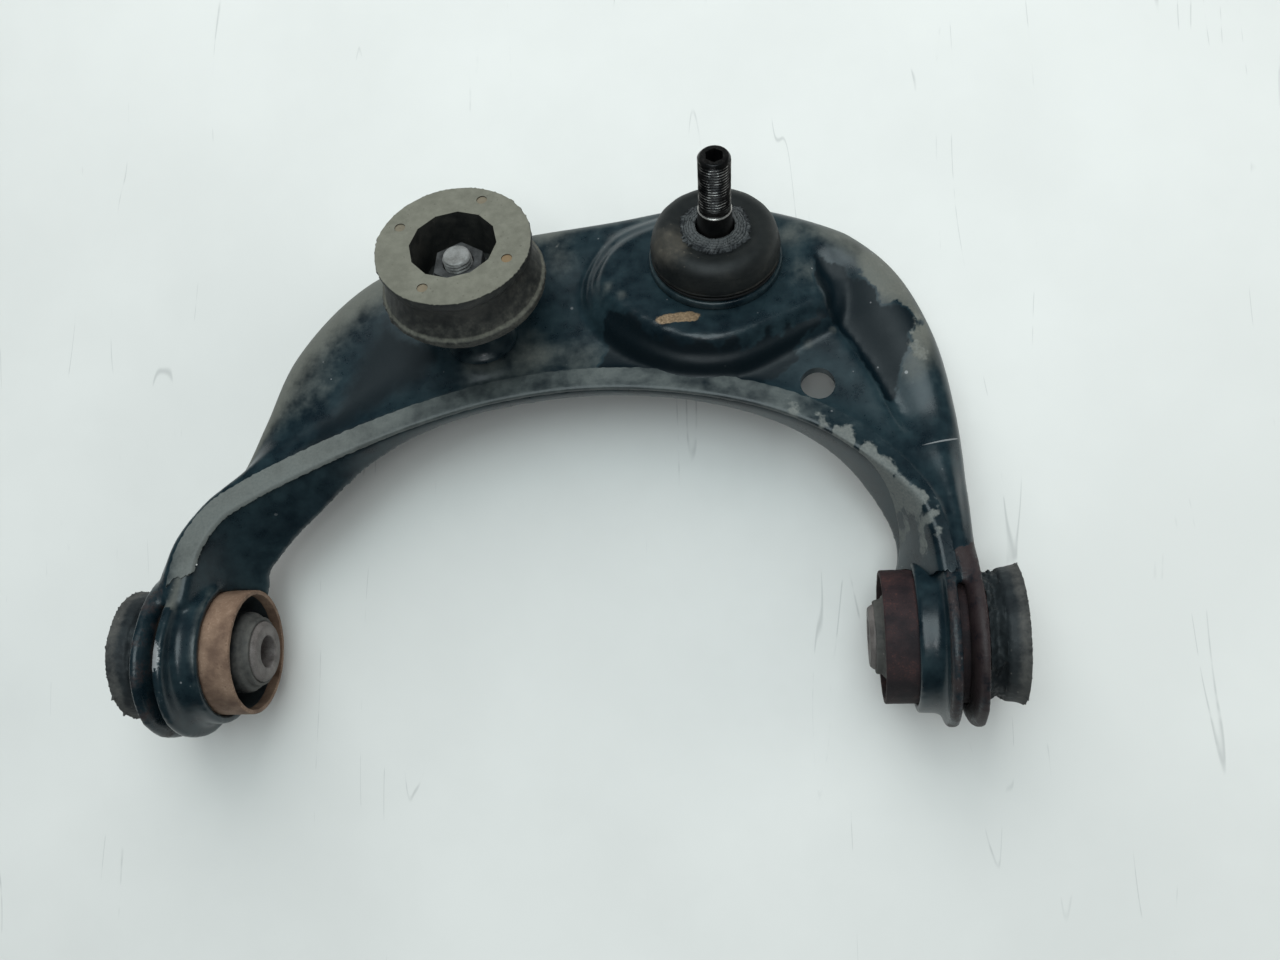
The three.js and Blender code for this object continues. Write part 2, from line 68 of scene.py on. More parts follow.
# ---- shader maths ---------------------------------------------------------------------------
class Wire:
    """An output socket of a node, with arithmetic that adds Math nodes."""

    def __init__(self, tree: "Tree", socket: bpy.types.NodeSocket) -> None:
        """Keeps the socket and the tree it belongs to."""
        self.tree = tree
        self.socket = socket

    def _math(self, operation: str, *values: "Wire | float") -> "Wire":
        """Adds one Math node.

        Args:
            operation: the Math node's operation.
            values: its inputs, in order.

        Returns:
            The node's output.
        """
        made = self.tree.node(
            "ShaderNodeMath", {"operation": operation}, dict(enumerate(values))
        )
        return Wire(self.tree, made.outputs[0])

    def __add__(self, other: "Wire | float") -> "Wire":
        """Sum."""
        return self._math("ADD", self, other)

    __radd__ = __add__

    def __sub__(self, other: "Wire | float") -> "Wire":
        """Difference."""
        return self._math("SUBTRACT", self, other)

    def __rsub__(self, other: "Wire | float") -> "Wire":
        """Difference from a number."""
        return self._math("SUBTRACT", other, self)

    def __mul__(self, other: "Wire | float") -> "Wire":
        """Product."""
        return self._math("MULTIPLY", self, other)

    __rmul__ = __mul__

    def __truediv__(self, other: "Wire | float") -> "Wire":
        """Quotient."""
        return self._math("DIVIDE", self, other)

    def larger(self, other: "Wire | float") -> "Wire":
        """The larger of the two values."""
        return self._math("MAXIMUM", self, other)

    def ease(self, low: float, high: float) -> "Wire":
        """Smooth step from 0 at low to 1 at high, which may be the lower of the two.

        Args:
            low: value that gives 0.
            high: value that gives 1.

        Returns:
            The eased value.
        """
        made = self.tree.node(
            "ShaderNodeMapRange",
            {"interpolation_type": "SMOOTHSTEP"},
            {0: self, 1: low, 2: high, 3: 0.0, 4: 1.0},
        )
        return Wire(self.tree, made.outputs[0])


class Tree:
    """The node tree of one material."""

    def __init__(self, name: str) -> None:
        """Makes an empty material of that name.

        Args:
            name: the material's name.
        """
        self.material = bpy.data.materials.new(name)
        self.material.use_nodes = True
        self.nodes = self.material.node_tree.nodes
        self.links = self.material.node_tree.links
        self.nodes.clear()
        self.place = self.node("ShaderNodeTexCoord").outputs["Object"]

    def node(
        self, kind: str, settings: dict | None = None, inputs: dict | None = None
    ) -> bpy.types.Node:
        """Makes any node.

        Args:
            kind: the node's type.
            settings: properties set first.
            inputs: values or links by socket name or number.

        Returns:
            The node.
        """
        made = self.nodes.new(kind)
        for key, value in (settings or {}).items():
            setattr(made, key, value)
        for key, value in (inputs or {}).items():
            if isinstance(value, Wire):
                self.links.new(value.socket, made.inputs[key])
            elif isinstance(value, bpy.types.NodeSocket):
                self.links.new(value, made.inputs[key])
            elif isinstance(value, tuple) and made.inputs[key].type == "RGBA":
                made.inputs[key].default_value = (*value, 1.0)
            else:
                made.inputs[key].default_value = value
        return made

    def grain(
        self, size: float, detail: float = 4.0, stretch: Colour = (1, 1, 1), shift: float = 0.0
    ) -> Wire:
        """Noise about 0.5.

        Args:
            size: width of its largest features, mm.
            detail: octaves.
            stretch: scale along each axis, for streaks.
            shift: offset that makes it differ from other noise of that size, mm.

        Returns:
            The noise value.
        """
        moved = self.node(
            "ShaderNodeMapping",
            None,
            {"Vector": self.place, "Location": (shift * MM,) * 3, "Scale": stretch},
        )
        made = self.node(
            "ShaderNodeTexNoise",
            None,
            {"Vector": moved.outputs[0], "Scale": 1 / (size * MM), "Detail": detail,
             "Roughness": 0.58},
        )
        return Wire(self, made.outputs[0])

    def spots(self, spacing: float, radius: float, share: float, shift: float = 0.0) -> Wire:
        """Round spots scattered over the surface.

        Args:
            spacing: mean distance between cells, mm.
            radius: spot radius as a share of the spacing.
            share: share of the cells that have a spot.
            shift: offset of the pattern, mm.

        Returns:
            A mask that is 1 in the spots.
        """
        moved = self.node(
            "ShaderNodeMapping", None, {"Vector": self.place, "Location": (shift * MM,) * 3}
        )
        cell = self.node(
            "ShaderNodeTexVoronoi", None,
            {"Vector": moved.outputs[0], "Scale": 1 / (spacing * MM)},
        )
        pick = self.node("ShaderNodeSeparateColor", None, {0: cell.outputs["Color"]})
        kept = Wire(self, pick.outputs[0]).ease(share + 0.02, share - 0.02)
        return Wire(self, cell.outputs["Distance"]).ease(radius * 1.15, radius * 0.85) * kept

    def layer(self, name: str) -> Wire:
        """Value of a mesh attribute."""
        made = self.node("ShaderNodeAttribute", {"attribute_name": name})
        return Wire(self, made.outputs["Fac"])

    def facing(self, direction: Vector) -> Wire:
        """How far the surface faces a direction of the row frame, from -1 to 1.

        Args:
            direction: a direction of length 1.

        Returns:
            The cosine between it and the normal.
        """
        normal = self.node("ShaderNodeTexCoord").outputs["Normal"]
        made = self.node(
            "ShaderNodeVectorMath", {"operation": "DOT_PRODUCT"},
            {0: normal, 1: tuple(direction)},
        )
        return Wire(self, made.outputs["Value"])

    def oval(self, place: Colour, halves: Colour, turn: float = 0.0) -> Wire:
        """Distance from an oval's middle, 1 on its rim.

        Args:
            place: its middle in the row frame, metres.
            halves: half its size along its own axes, millimetres.
            turn: its turn about the vertical, degrees.

        Returns:
            The distance.
        """
        inside = self.node(
            "ShaderNodeMapping", {"vector_type": "TEXTURE"},
            {"Vector": self.place, "Location": place,
             "Rotation": (0.0, 0.0, math.radians(turn)),
             "Scale": tuple(half * MM for half in halves)},
        )
        reach = self.node("ShaderNodeVectorMath", {"operation": "LENGTH"}, {0: inside.outputs[0]})
        return Wire(self, reach.outputs["Value"])

    def mix(self, share: Wire | float, first: Wire | Colour, second: Wire | Colour) -> Wire:
        """Colour between two, by a share from 0 to 1.

        Args:
            share: share of the second.
            first: the first colour.
            second: the second colour.

        Returns:
            The colour.
        """
        made = self.node(
            "ShaderNodeMix",
            {"data_type": "RGBA", "clamp_factor": True},
            {0: share, 6: first, 7: second},
        )
        return Wire(self, made.outputs[2])

    def relief(self, height: Wire, depth: float, strength: float = 1.0) -> Wire:
        """Bump from a height.

        Args:
            height: the height as a share of depth.
            depth: height of 1.0, mm.
            strength: how much of it shows.

        Returns:
            The normal.
        """
        made = self.node(
            "ShaderNodeBump", None,
            {"Height": height, "Distance": depth * MM, "Strength": strength},
        )
        return Wire(self, made.outputs[0])

    def close(
        self,
        colour: Wire,
        roughness: Wire | float,
        metallic: Wire | float = 0.0,
        normal: Wire | None = None,
        fixed: dict[str, float] | None = None,
    ) -> bpy.types.Material:
        """Ends the tree in one surface shader.

        Args:
            colour: base colour.
            roughness: roughness.
            metallic: metallic share.
            normal: normal with its bump.
            fixed: constants of the shader's other sockets.

        Returns:
            The finished material.
        """
        inputs = {"Base Color": colour, "Roughness": roughness, "Metallic": metallic}
        if normal is not None:
            inputs["Normal"] = normal
        inputs.update(fixed or {})
        shader = self.node("ShaderNodeBsdfPrincipled", None, inputs)
        self.node("ShaderNodeOutputMaterial", None, {"Surface": shader.outputs[0]})
        return self.material


# ---- axes -----------------------------------------------------------------------------------
class Side(Enum):
    """The two legs of the arm, with the sign of their X."""

    LEFT = -1
    RIGHT = 1

    @property
    def label(self) -> str:
        """The leg's name in piece names."""
        return self.name.lower()


def smooth(low: float, high: float, value: float) -> float:
    """Smooth step from 0 at low to 1 at high."""
    share = min(max((value - low) / (high - low), 0.0), 1.0)
    return share * share * (3 - 2 * share)


def lerp(first: float, second: float, share: float) -> float:
    """Value between two."""
    return first + (second - first) * share


def scaled(colour: Colour, factor: float) -> Colour:
    """A colour made darker or brighter, up to 1."""
    return tuple(min(part * factor, 1.0) for part in colour)


def off_axis(point: Vector) -> float:
    """Distance of a point from the Z axis."""
    return math.hypot(point.x, point.y)


def aimed(place: Sequence[float], way: Vector) -> Matrix:
    """Matrix at a place with its Z along a direction."""
    return Matrix.Translation(place) @ way.to_track_quat("Z", "Y").to_matrix().to_4x4()


class Axes:
    """Matrices from each sub-assembly's millimetres to the row frame's metres."""

    BUMP_AT = (-27.4, 107.2, 51.5)
    BUMP_LEAN = 2.6

    def __init__(self, joints: Sequence[dict]) -> None:
        """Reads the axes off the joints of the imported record.

        Args:
            joints: the record's joints.
        """
        known = {joint["name"]: joint for joint in joints}
        left, right = (Vector(known[f"pivot_{side}_turn"]["pos_m"]) for side in ("left", "right"))
        x_axis = (right - left).normalized()
        y_axis = Vector(known["stud_tilt_long"]["axis"]).normalized()
        self.arm = self._matrix((left + right) / 2, x_axis, y_axis)
        tilt = Vector(known["stud_tilt_cross"]["axis"]).normalized()
        self.joint = self._matrix(Vector(known["stud_turn"]["pos_m"]), tilt, y_axis)
        lean = Matrix.Rotation(math.radians(self.BUMP_LEAN), 4, "Y")
        self.bump = self.arm @ Matrix.Translation(self.BUMP_AT) @ lean
        self.joint_in_arm = self.arm.inverted() @ self.joint
        self.bump_in_arm = self.arm.inverted() @ self.bump

    @staticmethod
    def _matrix(origin: Vector, x_axis: Vector, y_axis: Vector) -> Matrix:
        """Matrix of axes at an origin, scaled from millimetres."""
        turn = Matrix((x_axis, y_axis, x_axis.cross(y_axis))).transposed().to_4x4()
        return Matrix.Translation(origin) @ turn @ Matrix.Scale(MM, 4)

    def pivot(self, side: Side) -> Matrix:
        """Axes of one bush: Z outboard along the pivot axis, Y towards the ball joint."""
        turn = Matrix.Rotation(side.value * math.pi / 2, 4, "Y")
        return self.arm @ turn

    def pivot_in_arm(self, side: Side) -> Matrix:
        """Axes of one bush in the arm's axes."""
        return self.arm.inverted() @ self.pivot(side)

    def at(self, point: tuple[float, float, float]) -> Vector:
        """A point of the arm's axes in the row frame."""
        return self.arm @ Vector(point)

    def towards(self, matrix: Matrix, direction: tuple[float, float, float]) -> Vector:
        """A direction of some axes in the row frame, of length 1."""
        return (matrix.to_3x3() @ Vector(direction)).normalized()


# ---- mesh work ------------------------------------------------------------------------------
class Shape:
    """A mesh being made, in the millimetres of its sub-assembly."""

    def __init__(self) -> None:
        """Starts with no vertices."""
        self.bm = bmesh.new()

    def turned(
        self, outline: Outline, steps: int = 128, closed: bool = True, segments: int = 4
    ) -> "Shape":
        """Spins an outline about Z.

        Args:
            outline: (radius, height) or (radius, height, fillet) for each corner.
            steps: sides of the turned piece.
            closed: whether the outline joins its ends away from the axis.
            segments: faces round each fillet.

        Returns:
            The same shape, with the turned piece added.
        """
        part = bmesh.new()
        points = [part.verts.new((corner[0], 0, corner[1])) for corner in outline]
        pairs = list(zip(points, points[1:]))
        if closed:
            pairs.append((points[-1], points[0]))
        for pair in pairs:
            part.edges.new(pair)
        for point, corner in zip(points, outline):
            if len(corner) > 2 and corner[2] > 0:
                bmesh.ops.bevel(
                    part, geom=[point], offset=corner[2], segments=segments, profile=0.5,
                    affect="VERTICES", material=-1,
                )
        bmesh.ops.spin(
            part, geom=list(part.verts) + list(part.edges), cent=(0, 0, 0), axis=(0, 0, 1),
            dvec=(0, 0, 0), angle=math.tau, steps=steps, use_merge=True, use_duplicate=False,
        )
        bmesh.ops.remove_doubles(part, verts=part.verts, dist=1e-4)
        bmesh.ops.recalc_face_normals(part, faces=part.faces)
        return self.join(part)

    def join(self, part: bmesh.types.BMesh) -> "Shape":
        """Adds another mesh and frees it.

        Args:
            part: the mesh added.

        Returns:
            The same shape.
        """
        mesh = bpy.data.meshes.new("part")
        part.to_mesh(mesh)
        part.free()
        self.bm.from_mesh(mesh)
        bpy.data.meshes.remove(mesh)
        return self

    def move(self, rule: Callable[[Vector], Vector]) -> "Shape":
        """Moves every vertex by a rule from its place to its new place.

        Args:
            rule: gives the new place of a place.

        Returns:
            The same shape.
        """
        for vert in self.bm.verts:
            vert.co = rule(vert.co.copy())
        return self

    def roughen(
        self, depth: float, size: float, seed: float = 0.0,
        mask: Callable[[Vector], float] | None = None,
    ) -> "Shape":
        """Pushes the surface in and out along its normals.

        Args:
            depth: furthest push, mm.
            size: width of the lumps, mm.
            seed: offset of the noise.
            mask: share of the push at a place.

        Returns:
            The same shape.
        """
        self.bm.normal_update()
        pushes = []
        for vert in self.bm.verts:
            share = 1.0 if mask is None else mask(vert.co)
            lump = noise.fractal(vert.co / size + Vector((seed,) * 3), 1.0, 2.0, 3)
            pushes.append(vert.normal * (lump * depth * share))
        for vert, push in zip(self.bm.verts, pushes):
            vert.co += push
        return self

    def mark(self, name: str, rule: Callable[[Vector], float]) -> "Shape":
        """Stores a value of each vertex, by a rule from its place, for the materials.

        Args:
            name: the layer's name.
            rule: gives the value at a place.

        Returns:
            The same shape.
        """
        layer = self.bm.verts.layers.float.new(name)
        for vert in self.bm.verts:
            vert[layer] = rule(vert.co)
        return self


class Shop:
    """Finishes pieces: places them, dresses them and hangs them on their bodies."""

    SHARP = math.radians(38)

    def __init__(self, axes: Axes) -> None:
        """Keeps the axes the pieces are placed by."""
        self.axes = axes

    def piece(
        self, name: str, shape: Shape, matrix: Matrix, material: bpy.types.Material, body: str,
        slot: str, replaces: Sequence[str] = (), sharp: float = SHARP,
        blend: tuple[str, str, float, float] | None = None,
    ) -> bpy.types.Object:
        """Makes one finished piece.

        Args:
            name: its name.
            shape: its mesh, freed here.
            matrix: from the mesh's millimetres to the row frame.
            material: its finish.
            body: the body it rides on, when blend is not given.
            slot: not used.
            replaces: CAD nodes it stands for.
            sharp: angle past which an edge is drawn sharp, radians.
            blend: two bodies and two heights; when it is given, the piece is baked into the row
                frame and hung on no body.

        Returns:
            The object.
        """
        shape.bm.transform(matrix)
        mesh = bpy.data.meshes.new(name)
        shape.bm.to_mesh(mesh)
        shape.bm.free()
        mesh.shade_smooth()
        mesh.set_sharp_from_angle(angle=sharp)
        made = bpy.data.objects.new(name, mesh)
        bpy.context.scene.collection.objects.link(made)
        mesh.materials.append(material)
        if blend is None:
            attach(made, body)
        else:
            first, second, low, high = blend
            tuple(matrix @ Vector((0, 0, low)))
            tuple(matrix @ Vector((0, 0, high)))
            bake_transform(made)
        if replaces:
            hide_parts(*replaces)
        LOG.info("%s: %d faces on %s", name, len(mesh.polygons), body)
        return made


# ---- finishes -------------------------------------------------------------------------------
@dataclass(frozen=True)
class ArmPaint:
    """Blue-black paint under road film, dried mud, rubbed edges, stone chips and painted shade.
    """

    # painted shade: near-black colour laid where the dust layer is below 0, in place of the
    # valleys' shadow
    painted_shade: Colour = (0.0008, 0.0052, 0.0082)
    deep: Colour = (0.0030, 0.0078, 0.0115)
    pale: Colour = (0.0150, 0.0300, 0.0360)
    film: Colour = (0.128, 0.130, 0.110)
    mud: Colour = (0.150, 0.158, 0.146)
    bare: Colour = (0.340, 0.350, 0.350)
    rust: Colour = (0.028, 0.020, 0.020)
    bald: tuple[Colour, Colour, float] = ((0.0513, 0.0491, 0.0474), (8.4, 2.4, 6.0), 3.0)
    crack: tuple[Colour, Colour, float] = ((0.1442, -0.0006, 0.0403), (7.2, 0.34, 6.0), 11.0)
    rubbed: tuple[tuple[Colour, Colour, float], ...] = (
        ((-0.1436, -0.0696, 0.0645), (2.6, 6.5, 5.0), 8.0),
        ((0.1214, 0.0250, 0.0460), (2.0, 1.0, 3.0), 0.0),
    )

    def build(self, name: str = "arm_paint") -> bpy.types.Material:
        """Makes the material.

        Args:
            name: the material's name.

        Returns:
            The material, which reads the layers dust, mud, worn and rust; dust below 0 marks
            painted shade.
        """
        tree = Tree(name)
        cloud = tree.grain(26, 6)
        patch = tree.grain(7, 7, shift=40)
        fine = tree.grain(0.9, 5, shift=90)
        streak = tree.grain(9, 6, (1, 0.35, 1), shift=15)
        dust = tree.layer("dust")
        # painted shade mask: negative dust turns the paint near-black and rougher
        painted_shade = dust.ease(0.0, -0.7)
        paint = tree.mix((cloud * 0.6 + patch * 0.5).ease(0.36, 0.74), self.deep, self.pale)
        paint = tree.mix(painted_shade, paint, self.painted_shade)
        veil = (dust * 1.15 + (cloud - 0.5) * 0.8 + (patch - 0.5) * 0.7 - 0.06).ease(0.12, 0.95)
        veil = veil * (0.62 + 0.6 * (fine - 0.2))
        colour = tree.mix(veil * 0.92, paint, self.film)
        rusty = (tree.layer("rust") + (patch - 0.5) * 0.9 + (fine - 0.5) * 0.4).ease(0.35, 0.62)
        rust_tone = tree.mix(patch.ease(0.35, 0.7), (0.020, 0.012, 0.013), self.rust)
        colour = tree.mix(rusty, colour, rust_tone)
        mud = (tree.layer("mud") + (patch - 0.5) * 1.5 + (streak - 0.5) * 1.0).ease(0.46, 0.64)
        mud_tone = tree.mix(fine.ease(0.3, 0.75), self.film, self.mud)
        colour = tree.mix(mud * (0.34 + 0.75 * fine), colour, mud_tone)
        bald = tree.oval(*self.bald) + (patch - 0.5) * 1.2 + (fine - 0.5) * 0.4
        bald = bald.ease(1.05, 0.92)
        bald_tone = tree.mix(fine.ease(0.3, 0.7), (0.100, 0.070, 0.042), (0.230, 0.165, 0.100))
        colour = tree.mix(bald, colour, bald_tone)
        chips = tree.spots(4.2, 0.075, 0.17) + tree.spots(9.0, 0.07, 0.35, 30)
        chips = chips * cloud.ease(0.42, 0.6)
        worn = (tree.layer("worn") + (fine - 0.5) * 0.9 + (patch - 0.5) * 0.6).ease(0.62, 0.78)
        marks = worn.larger(chips * 0.7)
        for rub in self.rubbed:
            ragged = tree.oval(*rub) + (patch - 0.5) * 0.8 + (fine - 0.5) * 1.3
            marks = marks.larger(ragged.ease(1.0, 0.8) * 0.75)
        split = tree.oval(*self.crack) + (patch - 0.5) * 0.9
        marks = marks.larger(split.ease(1.1, 0.8) * 0.6)
        colour = tree.mix(marks * 0.75, colour, self.bare)
        rough = 0.30 + 0.36 * veil + 0.26 * mud.larger(rusty) + 0.16 * (patch - 0.5)
        rough = rough + 0.20 * painted_shade
        rough = rough + 0.1 * (fine - 0.5)
        height = fine * 0.10 + patch * 0.18 + mud * 0.30 + rusty * fine * 0.5 - marks * 0.15
        return tree.close(colour, rough, 0.0, tree.relief(height, 0.35, 0.7), {"IOR": 1.48})


@dataclass(frozen=True)
class RustySteel:
    """Plain steel rusted all over, pitted, with darker and brighter patches."""

    name: str
    dark: Colour
    mid: Colour
    bright: Colour
    smoothness: float = 0.0
    metal: float = 0.15

    def build(self) -> bpy.types.Material:
        """Makes the material.

        Returns:
            The material.
        """
        tree = Tree(self.name)
        cloud = tree.grain(11, 6)
        fine = tree.grain(0.8, 6, shift=20)
        flecks = tree.spots(1.7, 0.25, 0.22)
        colour = tree.mix(cloud.ease(0.32, 0.62), self.dark, self.mid)
        colour = tree.mix((fine * 0.6 + cloud * 0.5).ease(0.56, 0.78) * 0.8, colour, self.bright)
        colour = tree.mix(flecks * 0.45, colour, self.dark)
        edge = tree.layer("worn")
        colour = tree.mix((edge + (fine - 0.5) * 0.8).ease(0.5, 0.8) * 0.7, colour, self.bright)
        rough = 0.78 - self.smoothness + 0.22 * (fine - 0.5)
        height = fine * 0.5 + cloud * 0.3 - flecks * 0.3
        return tree.close(colour, rough, self.metal, tree.relief(height, 0.22, 0.9))


@dataclass(frozen=True)
class Rubber:
    """Moulded rubber with dust in its pores, fine cracks and scuffed patches."""

    name: str
    deep: Colour
    pale: Colour
    dust: Colour
    dustiness: float = 0.35
    grain_mm: float = 0.9
    relief_mm: float = 0.16
    gloss: float = 0.0

    def build(self) -> bpy.types.Material:
        """Makes the material, which reads the layers dust and worn.

        Returns:
            The material.
        """
        tree = Tree(self.name)
        cloud = tree.grain(13, 6, shift=5)
        patch = tree.grain(3.2, 6, shift=60)
        fine = tree.grain(self.grain_mm, 5, shift=35)
        colour = tree.mix((cloud * 0.7 + patch * 0.4).ease(0.35, 0.72), self.deep, self.pale)
        veil = tree.layer("dust") + (cloud - 0.5) * 0.9 + (patch - 0.5) * 0.6 + (fine - 0.5) * 0.4
        veil = (veil + self.dustiness - 0.35).ease(0.10, 0.95)
        colour = tree.mix(veil * 0.9, colour, self.dust)
        scuff = (tree.layer("worn") + (patch - 0.5) * 0.9 + (fine - 0.5) * 0.5).ease(0.4, 0.85)
        colour = tree.mix(scuff * 0.8, colour, scaled(self.dust, 1.7))
        specks = tree.spots(2.6, 0.13, 0.16) * patch.ease(0.4, 0.6)
        colour = tree.mix(specks * 0.5, colour, scaled(self.dust, 1.9))
        rough = 0.62 - self.gloss + 0.25 * veil + 0.2 * (fine - 0.5)
        height = fine * 0.45 + patch * 0.55 + specks * 0.2
        return tree.close(colour, rough, 0.0, tree.relief(height, self.relief_mm, 0.85))


@dataclass(frozen=True)
class WorkedSteel:
    """Machined or plated steel, stained and dulled, brighter where the worn layer is high: rubbed
    places, and the stud's thread crests as a painted highlight.
    """

    name: str
    stain: Colour
    plain: Colour
    bright: Colour
    metal: float = 0.75
    roughness: float = 0.42

    def build(self) -> bpy.types.Material:
        """Makes the material, which reads the layers dust and worn.

        Returns:
            The material.
        """
        tree = Tree(self.name)
        cloud = tree.grain(6, 6, shift=11)
        fine = tree.grain(0.5, 5, shift=70)
        colour = tree.mix((cloud * 0.8 + fine * 0.3).ease(0.38, 0.72), self.stain, self.plain)
        film = (tree.layer("dust") + (cloud - 0.5) * 0.7).ease(0.3, 0.9)
        colour = tree.mix(film * 0.75, colour, self.stain)
        rub = (tree.layer("worn") + (fine - 0.5) * 0.5).ease(0.45, 0.75)
        colour = tree.mix(rub * 0.9, colour, self.bright)
        rough = self.roughness + 0.25 * film - 0.14 * rub + 0.24 * (cloud - 0.5)
        metal = self.metal - 0.35 * film
        height = fine * 0.5 + cloud * 0.3
        return tree.close(colour, rough, metal, tree.relief(height, 0.08, 0.8))


@dataclass(frozen=True)
class Floor:
    """Pale painted board with faint hairline scratches and smudges."""

    tone: Colour = (0.640, 0.645, 0.615)

    def build(self) -> bpy.types.Material:
        """Makes the material.

        Returns:
            The material.
        """
        tree = Tree("floor")
        cloud = tree.grain(160, 5)
        fine = tree.grain(4, 5, shift=30)
        colour = tree.mix(cloud.ease(0.3, 0.7), self.tone, scaled(self.tone, 0.93))
        hair = tree.grain(55, 3, (1, 0.08, 1), shift=12)
        scratch = hair.ease(0.4975, 0.5) * hair.ease(0.5025, 0.5)
        scratch = scratch * tree.grain(38, 3, shift=77).ease(0.54, 0.62)
        colour = tree.mix(scratch * 0.45, colour, (0.30, 0.31, 0.30))
        colour = tree.mix(tree.spots(38, 0.02, 0.12) * 0.6, colour, (0.2, 0.2, 0.19))
        return tree.close(colour, 0.42 + 0.2 * (fine - 0.5), 0.0, tree.relief(cloud, 0.2, 0.4))


# ---- the pressed arm --------------------------------------------------------------------------
def rail(points: Sequence[Vector], place: float) -> Vector:
    """Point of an open centripetal curve.

    Args:
        points: the points it passes through.
        place: 0 at the first point, 1 at the last.

    Returns:
        The point of the curve.
    """
    along = min(max(place, 0.0), 1.0) * (len(points) - 1)
    start = min(int(along), len(points) - 2)
    share = along - start
    first, second = points[start], points[start + 1]
    before = points[start - 1] if start > 0 else first * 2 - second
    after = points[start + 2] if start + 2 < len(points) else second * 2 - first
    gaps = [
        max((b - a).length, 1e-6) ** 0.5
        for a, b in ((before, first), (first, second), (second, after))
    ]
    turn_a = (first - before) / gaps[0] - (second - before) / (gaps[0] + gaps[1])
    turn_b = (second - first) / gaps[1] - (after - first) / (gaps[1] + gaps[2])
    slope_a = (turn_a + (second - first) / gaps[1]) * gaps[1]
    slope_b = (turn_b + (after - second) / gaps[2]) * gaps[1]
    return (
        first
        + slope_a * share
        + (second * 3 - first * 3 - slope_a * 2 - slope_b) * share**2
        + (first * 2 - second * 2 + slope_a + slope_b) * share**3
    )


def outline_depth(outline: Sequence[tuple[float, float]], x: float, y: float) -> float:
    """How deep a point lies inside a closed outline, negative outside it.

    Args:
        outline: its corners in order.
        x: the point, along X.
        y: the point, along Y.

    Returns:
        The depth.
    """
    gap, inside = math.inf, False
    for (ax, ay), (bx, by) in zip(outline, (*outline[1:], outline[0])):
        dx, dy = bx - ax, by - ay
        share = min(max(((x - ax) * dx + (y - ay) * dy) / (dx * dx + dy * dy), 0.0), 1.0)
        gap = min(gap, math.hypot(x - ax - dx * share, y - ay - dy * share))
        if (ay > y) != (by > y) and x < ax + (y - ay) / dy * dx:
            inside = not inside
    return gap if inside else -gap


def rounded(points: Sequence[Vector], rounds: int) -> list[Vector]:
    """Cuts the corners of an open line of points, a quarter of each side at a time.

    Args:
        points: the line's corners.
        rounds: how often the corners are cut.

    Returns:
        The rounded line.
    """
    line = list(points)
    for _ in range(rounds):
        cut = [line[0]]
        for first, second in zip(line, line[1:]):
            cut += [first.lerp(second, 0.25), first.lerp(second, 0.75)]
        line = [*cut, line[-1]]
    return line


